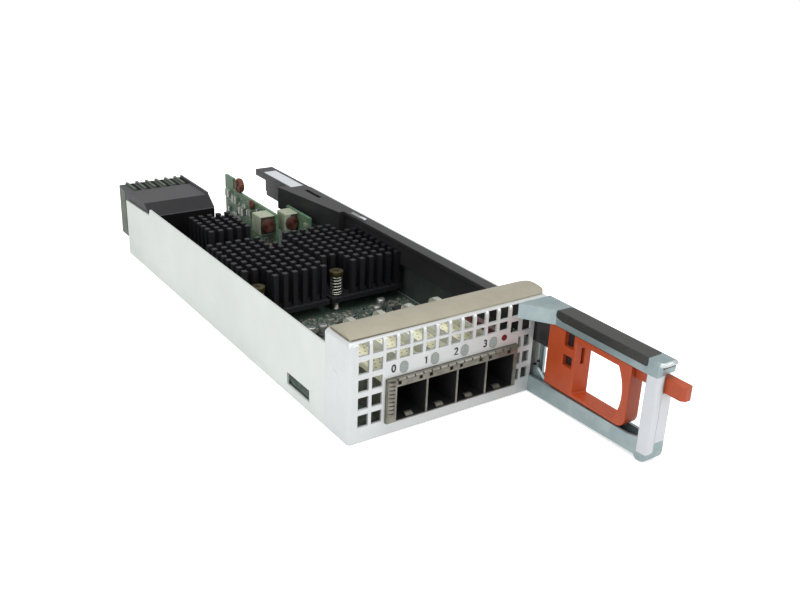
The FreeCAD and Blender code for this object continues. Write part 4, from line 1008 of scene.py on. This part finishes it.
for name, mesh in bodies.items():
    piece(f"parts_{name}", mesh, name)
print("small parts on the board:", placed)


# %% [markdown]
# ## Round cans and chip pins
#
# The can capacitors among the solids have twelve sides and no waist, so turned cans take their places,
# with a square foot and a dark mark on top. Each chip gets a row of tinned pins on two sides.

# %% Round cans and chip pins
MARK_INSET = 0.45
FOOT_REACH = 0.2
FOOT_HEIGHT = 0.6
FOOT_EDGE = 0.2
MARK_SINK, MARK_SHEET = 0.05, 0.04
cans_mesh = bmesh.new()
marks = bmesh.new()
feet = bmesh.new()
for low, high in separate_boxes("board_capacitors"):
    x, y = (low.x + high.x) / 2, (low.y + high.y) / 2
    radius, height = (high.x - low.x) / 2, high.z - low.z
    turned(cans_mesh, (x, y, low.z), (
        (radius, 0.0), (radius, 0.9), (radius - 0.25, 1.2), (radius, 1.5), (radius, height - 0.35),
        (radius - 0.3, height - 0.05), (radius - 0.5, height - 0.05)))
    rim = radius - MARK_INSET
    outline = [(x + rim * a, y + rim * b, high.z - MARK_SINK) for a, b in arc((0, 0), (1, 1), 40, 140)]
    plate(marks, outline, (0, 0, MARK_SHEET))
    reach = radius + FOOT_REACH
    block(feet, (x - reach, y - reach, low.z), (x + reach, y + reach, low.z + FOOT_HEIGHT), FOOT_EDGE)
cans = piece("round_cans", cans_mesh, "can_tin", smooth=True)
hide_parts("board_capacitors")
piece("can_marks", marks, "print_black")
piece("can_feet", feet, "chip_black")

PIN_PITCH = 0.8
PIN_REACH = 0.8
PIN_HALF = 0.18
PIN_HEIGHT = 0.25
PINLESS = 1.0
mesh = bmesh.new()
for low, high in separate_boxes("board_chips"):
    count = int((high.x - low.x - PINLESS) / PIN_PITCH)
    start = (low.x + high.x - PIN_PITCH * (count - 1)) / 2
    for front, back in ((low.y - PIN_REACH, low.y), (high.y, high.y + PIN_REACH)):
        for pin in range(count):
            x = start + PIN_PITCH * pin
            block(mesh, (x - PIN_HALF, front, BOARD_TOP), (x + PIN_HALF, back, BOARD_TOP + PIN_HEIGHT))
piece("chip_pins", mesh, "tinned")
print("cans and pins drawn")


# %% [markdown]
# ## Springs on the heat-sink screws
#
# A coil spring is a wire on a helix whose first and last turns lie flat. A screw modifier could draw an
# even coil, but not the flat ends, so the helix is written out. A bright sleeve stands inside each coil.

# %% Sink coils and sleeves
CLOSED_PITCH = 1.05
FLAT_TURNS = 1.0
COIL_STEPS = 20


def helix(start, axis, length, radius, turns, wire):
    """Points of a helix from start along axis. Its first and last turns lie flat."""
    axis = Vector(axis).normalized()
    side = axis.orthogonal().normalized()
    other = axis.cross(side)
    flat = wire * CLOSED_PITCH
    points = []
    for step in range(int(turns * COIL_STEPS) + 1):
        turn = step / COIL_STEPS
        if turn < FLAT_TURNS:
            rise = turn * flat
        elif turn > turns - FLAT_TURNS:
            rise = length - 2 * wire - (turns - turn) * flat
        else:
            span = length - 2 * wire - 2 * FLAT_TURNS * flat
            rise = FLAT_TURNS * flat + (turn - FLAT_TURNS) / (turns - 2 * FLAT_TURNS) * span
        angle = math.tau * turn
        out = math.cos(angle) * side + math.sin(angle) * other
        points.append(Vector(start) + axis * (rise + wire) + radius * out)
    return points


SINK_COIL_RADIUS = 2.62
SINK_COIL_TURNS = 7.5
SINK_WIRE = 0.36
spring_places = [((low.x + high.x) / 2, (low.y + high.y) / 2)
                 for low, high in separate_boxes("sink_springs")]
low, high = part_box("sink_springs")
SPRING_LOW = low.z / MM
SPRING_LENGTH = (high.z - low.z) / MM
mesh = bmesh.new()
for x, y in spring_places:
    tube(mesh, helix((x, y, SPRING_LOW), (0, 0, 1), SPRING_LENGTH, SINK_COIL_RADIUS, SINK_COIL_TURNS,
                     SINK_WIRE), SINK_WIRE)
coils = piece("sink_coils", mesh, "spring_steel", smooth=True)
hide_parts("sink_springs")

SLEEVE_PROFILE = ((1.7, 0.0), (1.7, 0.5), (1.55, 0.6), (1.55, 5.2))
mesh = bmesh.new()
for x, y in spring_places:
    turned(mesh, (x, y, BOARD_TOP), SLEEVE_PROFILE)
piece("screw_sleeves", mesh, "spring_bright", smooth=True)
print("coils on the sinks:", len(spring_places))


# %% [markdown]
# ## The return spring
#
# The spring behind the trigger gets shorter as the trigger is drawn. Its coil spans the solid spring's
# length and gets a mesh of its own. Dark crosses of painted shade mark the recesses in the heads of the
# heat-sink screws.

# %% Return coil and screw recesses
RETURN_COIL_RADIUS = 1.5
RETURN_COIL_TURNS = 10
RETURN_WIRE = 0.28
low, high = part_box("return_spring")
low, high = low / MM, high / MM
mesh = bmesh.new()
tube(mesh, helix(((low.x + high.x) / 2, low.y, (low.z + high.z) / 2), (0, 1, 0), high.y - low.y,
                 RETURN_COIL_RADIUS, RETURN_COIL_TURNS, RETURN_WIRE), RETURN_WIRE)
coil = piece("return_coil", mesh, "spring_steel", smooth=True)
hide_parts("return_spring")
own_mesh(coil)

# Dark crosses of painted shade in the screw heads' recesses
SCREW_TOP = 25.0
RECESS_LENGTH, RECESS_WIDTH = 1.6, 0.25
RECESS_LOW, RECESS_HIGH = SCREW_TOP - 0.1, SCREW_TOP + 0.02
mesh = bmesh.new()
for x, y in spring_places:
    for half_x, half_y in ((RECESS_LENGTH, RECESS_WIDTH), (RECESS_WIDTH, RECESS_LENGTH)):
        block(mesh, (x - half_x, y - half_y, RECESS_LOW), (x + half_x, y + half_y, RECESS_HIGH))
piece("screw_recess_shade", mesh, "shade_black")


# %% [markdown]
# ## Wire on the rings
#
# Wire is wound round the two ring cores of the left power card, like thread round a curtain ring, and
# leaves a gap between its ends. A torus could not show the turns, so the path is written out: it goes
# round the ring once and round its thickness many times.

# %% Ring windings
RING_START = math.radians(120)
RING_SWEEP = math.radians(300)
TURN_STEPS = 12


def wound_ring(mesh, centre, ring, reach, turns, wire):
    """Wire wound round a ring that stands in the YZ plane."""
    points = []
    steps = turns * TURN_STEPS
    for step in range(steps + 1):
        round_ring = RING_SWEEP * step / steps + RING_START
        winding = math.tau * turns * step / steps
        out = ring + reach * math.cos(winding)
        points.append((centre[0] + reach * math.sin(winding), centre[1] + out * math.sin(round_ring),
                       centre[2] + out * math.cos(round_ring)))
    tube(mesh, points, wire, sides=6)


# Radius of the ring, reach of the winding round it, turns, wire and finish
RINGS_OF_WIRE = ((1.6, 0.9, 12, 0.2, "copper_dark"), (2.6, 1.4, 16, 0.34, "copper"))
for (low, high), (ring, reach, turns, wire, look) in zip(separate_boxes("power_toroids"), RINGS_OF_WIRE):
    mesh = bmesh.new()
    wound_ring(mesh, (low + high) / 2, ring, reach, turns, wire)
    piece(f"ring_wire_{look}", mesh, look, smooth=True)
print("rings wound:", len(RINGS_OF_WIRE))


# %% [markdown]
# ## Wire on the drums
#
# Each cream core holds a drum of wire that shows its end. Four loops lie one inside the other in front of
# the drum, a dark rim of painted shade stands round it, and a dark sheet of painted shade lies on the
# core's front.

# %% Drum windings
DRUM_LOOPS = 4
DRUM_STEPS = 28
DRUM_WIRE = 0.3
LOOP_INSET = 0.5
LOOP_PITCH = 0.75
RIM_SHEET = 0.35
mesh = bmesh.new()
rims = bmesh.new()
for low, high in separate_boxes("inductor_windings"):
    x, z = (low.x + high.x) / 2, (low.z + high.z) / 2
    radius = (high.z - low.z) / 2
    for loop in range(DRUM_LOOPS):
        reach = radius - LOOP_INSET - LOOP_PITCH * loop
        tube(mesh, [(x + a, low.y - 0.1, z + b) for a, b in arc((0, 0), (reach, reach), 0, 360, DRUM_STEPS)],
             DRUM_WIRE, sides=6)
    circle = arc((0, 0), (1, 1), 0, 360, DRUM_STEPS)[:-1]
    band(rims, [((x + radius * a, high.y, z + radius * b), (x + radius * a, low.y + 0.3, z + radius * b))
                for a, b in circle], [(RIM_SHEET * a, 0, RIM_SHEET * b) for a, b in circle], closed=True)
piece("drum_wire", mesh, "copper_dark", smooth=True)
piece("drum_rim_shade", rims, "core_shadow", smooth=True)

# Where the sheet of painted shade starts and ends, as shares of each core's width
CORE_SHADE_SPANS = ((0.0, 1.0), (0.38, 1.0))
mesh = bmesh.new()
for (low, high), (near, far) in zip(separate_boxes("power_inductors"), CORE_SHADE_SPANS):
    width = high.x - low.x
    block(mesh, (low.x + near * width + 0.4, low.y - 0.05, low.z + 0.5),
          (low.x + far * width - 0.3, low.y + 0.3, high.z - 0.5))
piece("core_front_shade", mesh, "core_shadow")
print("drums wound:", len(CORE_SHADE_SPANS))


# %% [markdown]
# ## Parts on the power cards
#
# Both upright cards carry small parts on their left faces. They are scattered like those on the board,
# but in the plane of the card, and two larger sizes join them.

# %% Parts on the power cards
# Each card's front, back and how many places are tried
CARDS = {"power_card_left": (180.5, 244.0, 90), "power_card_right": (167.5, 192.5, 34)}
CARD_BOTTOM, CARD_TOP = 7.0, 27.5
CARD_PART_SIZES = PART_SIZES + ((4.2, 3.0, 1.4), (5.0, 4.0, 1.8))
CARD_PART_LOOKS = PART_LOOKS + ("core_cream",)
CORE_GAP = 0.5
CORE_NEAR = 3
CARD_TINNED_SHARE = 0.2
bodies = {"ceramic": bmesh.new(), "resistor": bmesh.new(), "core_cream": bmesh.new(), "tinned": bmesh.new()}
for name, (front, back, count) in CARDS.items():
    low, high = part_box(name)
    face = low.x / MM
    spots = [(left.y - CORE_GAP, left.z - CORE_GAP, right.y + CORE_GAP, right.z + CORE_GAP)
             for left, right in separate_boxes("power_inductors") + separate_boxes("power_toroids")
             if abs(right.x - face) < CORE_NEAR]
    for _ in range(count):
        length, width, height = random.choice(CARD_PART_SIZES)
        y = random.uniform(front, back - length)
        z = random.uniform(CARD_BOTTOM, CARD_TOP - width)
        spot = room_for(y, z, length, width)
        if crowded(spot, spots):
            continue
        spots.append(spot)
        look = random.choice(CARD_PART_LOOKS)
        block(bodies[look], (face - height, y, z), (face + TIN, y + length, z + width))
        end = CARD_TINNED_SHARE * length
        for near in (y - TIN, y + length - end):
            block(bodies["tinned"], (face - height - TIN, near, z - TIN),
                  (face + TIN, near + end + TIN, z + width + TIN))
for name, mesh in bodies.items():
    piece(f"card_parts_{name}", mesh, name)
print("cards dressed:", len(CARDS))


# %% [markdown]
# ## The rear connector
#
# The housing's sloped shoulder and the face below it lie in shade. The thin boards stand in black slots,
# and one more board closes the housing's left end. Each of these is a thin block that stands a trace
# proud of the solid.

# %% Connector details
CONNECTOR_TOP = 35.4
SHOULDER = ((203.5, 30.0), (211.0, 35.4))
SHOULDER_INSET = (0.2, 0.14)
SHOULDER_LIFT = (0, -0.05, 0.07)
SHADOW_LOW = 8.4
END_INSET = 0.4
low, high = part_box("rear_connector")
left_end = low.x / MM
near, far = left_end + END_INSET, high.x / MM - END_INSET
(y0, z0), (y1, z1) = SHOULDER
foot = (y0 + SHOULDER_INSET[0], z0 + SHOULDER_INSET[1])
head = (y1 - SHOULDER_INSET[0], z1 - SHOULDER_INSET[1])
mesh = bmesh.new()
plate(mesh, [(near, *foot), (far, *foot), (far, *head), (near, *head)], SHOULDER_LIFT)
piece("shoulder_sheet", mesh, "connector_shade")
mesh = bmesh.new()
block(mesh, (near, y0 - 0.08, SHADOW_LOW), (far, y0 + 0.1, z0 - 0.4))
piece("front_shadow", mesh, "shade_black")

SLOT_FRONT, SLOT_BACK = 234.0, 248.2
SLOT_LEFT, SLOT_RIGHT = 0.2, 2.6
mesh = bmesh.new()
for left, right in separate_boxes("connector_wafers"):
    block(mesh, (right.x + SLOT_LEFT, SLOT_FRONT, CONNECTOR_TOP - 0.1),
          (right.x + SLOT_RIGHT, SLOT_BACK, CONNECTOR_TOP + 0.06))
piece("wafer_slots", mesh, "shade_black")
END_HALF, END_LOW, END_HIGH = 0.1, (239.5, 8.6), (248.0, 34.6)
mesh = bmesh.new()
block(mesh, (left_end - END_HALF, *END_LOW), (left_end + END_HALF, *END_HIGH))
piece("end_board", mesh, "wafer_green")
print("connector dressed")


# %% [markdown]
# ## Labels on the handle
#
# The handle wears a black label that folds over its top edge and a white one that wraps round its end,
# with a second white one beside it. They are bare. Each is a sheet a tenth of a millimetre thick that
# follows the metal round the bend. A flat decal would need a picture, and would show no edge.

# %% Labels on the handle
HANDLE_FACE = 40.9
HANDLE_END = -67.5
HANDLE_TOP = 42.0
SHEET = 0.1
UP, OUT, ASLANT = (0, 0, 1), (-1, 0, 0), (-0.7, 0, 0.7)
# Rows across the black label: x, then (y, z) at its rear and at its front, then the way it faces
NAME_ROWS = (
    (48.2, (-14.8, HANDLE_TOP), (-60.6, HANDLE_TOP), UP),
    (47.6, (-13.6, HANDLE_TOP), (-61.1, HANDLE_TOP), UP),
    (HANDLE_FACE + 0.25, (-13.4, HANDLE_TOP), (-61.2, HANDLE_TOP), UP),
    (HANDLE_FACE + 0.07, (-13.2, HANDLE_TOP - 0.07), (-61.2, HANDLE_TOP - 0.07), ASLANT),
    (HANDLE_FACE, (-13.0, HANDLE_TOP - 0.25), (-61.2, HANDLE_TOP - 0.25), OUT),
    (HANDLE_FACE, (-12.4, 39.7), (-61.2, 39.7), OUT),
    (HANDLE_FACE, (-13.2, 38.9), (-61.1, 38.8), OUT),
    (HANDLE_FACE, (-16.3, 38.2), (-60.5, 38.3), OUT),
)
mesh = bmesh.new()
band(mesh, [((x, *rear), (x, *front)) for x, rear, front, _ in NAME_ROWS],
     [Vector(way) * SHEET for _, _, _, way in NAME_ROWS])
piece("name_label", mesh, "label_black")

BEND = 1.5
BEND_STEPS = 8
WRAP_LOW, WRAP_HIGH, WRAP_RISE = 3.4, 35.6, 1.6
WRAP_REAR, WRAP_RIGHT = -61.8, 43.1
path = [(HANDLE_FACE, WRAP_REAR, -1, 0), (HANDLE_FACE, HANDLE_END + BEND, -1, 0)]
for step in range(1, BEND_STEPS + 1):
    turn = math.pi / 2 * step / BEND_STEPS
    along, across = math.cos(turn), math.sin(turn)
    path.append((HANDLE_FACE + BEND - BEND * along, HANDLE_END + BEND - BEND * across, -along, -across))
path.append((WRAP_RIGHT, HANDLE_END, 0, -1))
span = len(path) - 1
mesh = bmesh.new()
band(mesh, [((x, y, WRAP_LOW + WRAP_RISE * step / span), (x, y, WRAP_HIGH + WRAP_RISE * step / span))
            for step, (x, y, _, _) in enumerate(path)],
     [(SHEET * along, SHEET * across, 0) for _, _, along, across in path])
piece("end_label", mesh, "label_white")

SIDE_LABEL = ((43.3, 8.9), (48.5, 8.7), (48.5, 29.6), (43.3, 29.4))
mesh = bmesh.new()
plate(mesh, [(x, HANDLE_END, z) for x, z in SIDE_LABEL], (0, -SHEET, 0))
piece("side_label", mesh, "label_white")
print("labels on the handle: 3")


# %% [markdown]
# ## The handle's rolled lip
#
# The end plate's top edge is rolled. It shows as a bright round bead over a dark line, and turns the
# corner with the metal. The bead is a wire along the edge, which is simpler than bending the sheet
# itself. Its pale colour is a painted highlight, and the dark line under it is a thin black plate of
# painted shade.

# %% Rolled lip
# A thin black plate of painted shade under the rolled lip
FOLD_SHADOW_OUTLINE = ((41.9, 39.8), (48.5, 39.8), (48.5, 40.3), (41.9, 40.3))
FOLD_SHEET = 0.12
mesh = bmesh.new()
plate(mesh, [(x, HANDLE_END, z) for x, z in FOLD_SHADOW_OUTLINE], (0, -FOLD_SHEET, 0))
piece("fold_shadow", mesh, "shade_black")

# The bead's pale finish is a painted highlight
LIP_LEVEL = 41.15
LIP_RADIUS = 0.92
LIP_PATH = ((48.6, -67.5), (45.0, -67.5), (42.7, -67.5), (42.1, -67.3), (41.75, -66.9), (41.6, -66.3))
mesh = bmesh.new()
tube(mesh, [(x, y, LIP_LEVEL) for x, y in LIP_PATH], LIP_RADIUS, sides=20)
piece("lip_roll", mesh, "polish_and_highlight", smooth=True)
print("lip rolled at", LIP_LEVEL, "mm")


# %% [markdown]
# ## Painted reflection on the wall, and rail details
#
# The right wall's inner side mirrors the dark board and lies in shade, so a thin dark sheet of painted
# reflection and shade covers it. The rail gets the bowed tongue of its metal clip and a bare white label on
# top.

# %% Painted wall reflection, clip and rail label
INNER_WALL = 46.5
WALL_FRONT, WALL_BACK, WALL_TOP = 18.5, 230.0, 22.8
mesh = bmesh.new()
block(mesh, (INNER_WALL - 0.05, WALL_FRONT, BOARD_TOP + 0.2), (INNER_WALL + 0.02, WALL_BACK, WALL_TOP))
piece("wall_painted_reflection", mesh, "reflection_shade_steel")

# The tongue's side view, from the clip's front edge and its top
CLIP_SIDE = ((0.0, -0.3), (0.25, 0.1), (0.7, 0.22), (4.2, 0.05), (4.8, 0.0))
CLIP_SHEET = 0.12
low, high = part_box("rail_clip")
low, high = low / MM, high / MM
left, right = low.x + 0.1, high.x - 0.1
mesh = bmesh.new()
band(mesh, [((left, low.y + y, high.z + z), (right, low.y + y, high.z + z)) for y, z in CLIP_SIDE],
     [(0, 0, CLIP_SHEET)] * len(CLIP_SIDE))
piece("clip_tongue", mesh, "polish_and_highlight")

RAIL_TOP = 35.4
RAIL_LABEL = ((36.5, 202.0), (44.1, 202.0), (44.1, 236.0), (36.5, 236.0))
mesh = bmesh.new()
plate(mesh, [(x, y, RAIL_TOP) for x, y in RAIL_LABEL], (0, 0, SHEET))
piece("rail_label", mesh, "label_white")
print("wall lined, clip and label laid on the rail")


# %% [markdown]
# ## Painted shade at the gasket's fold
#
# The fabric of the gasket is folded under at its left end and along part of its front edge, where it lies
# in its own shade. Two thin darker strips of painted shade show the fold. A block fills the rear end of the
# side rail.

# %% Painted gasket shade and rail end
GASKET_SHADE_GAP = 0.02
GASKET_SHADE_INSET = 0.6
GASKET_SHADE_LOW = 0.05
GASKET_SHADE_HIGH = 0.7
GASKET_SHADE_LENGTH = 44.0
low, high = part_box("emi_gasket")
low, high = low / MM, high / MM
side, bottom = low.x - GASKET_SHADE_GAP, low.z + GASKET_SHADE_LOW
front = low.y - GASKET_SHADE_GAP
mesh = bmesh.new()
plate(mesh, [(side, low.y + GASKET_SHADE_INSET, bottom), (side, high.y - GASKET_SHADE_INSET, bottom),
             (side, high.y - GASKET_SHADE_INSET, low.z + GASKET_SHADE_HIGH), (side, low.y + GASKET_SHADE_INSET, low.z + GASKET_SHADE_HIGH)],
      (-0.05, 0, 0))
plate(mesh, [(low.x + GASKET_SHADE_INSET, front, bottom), (low.x + GASKET_SHADE_LENGTH, front, bottom),
             (low.x + GASKET_SHADE_LENGTH, front, low.z + 0.15), (low.x + GASKET_SHADE_INSET, front, low.z + 0.6)],
      (0, -0.04, 0))
piece("gasket_fold_shade", mesh, "gasket_shade")

RAIL_END_LOW, RAIL_END_HIGH = (38.5, 231.0, 23.1), (238.5, 31.7)
low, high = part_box("side_rail")
mesh = bmesh.new()
block(mesh, RAIL_END_LOW, (high.x / MM - 0.1, *RAIL_END_HIGH), edge=0.3)
piece("rail_end_block", mesh, "rail_black")
print("hem folded and rail closed")
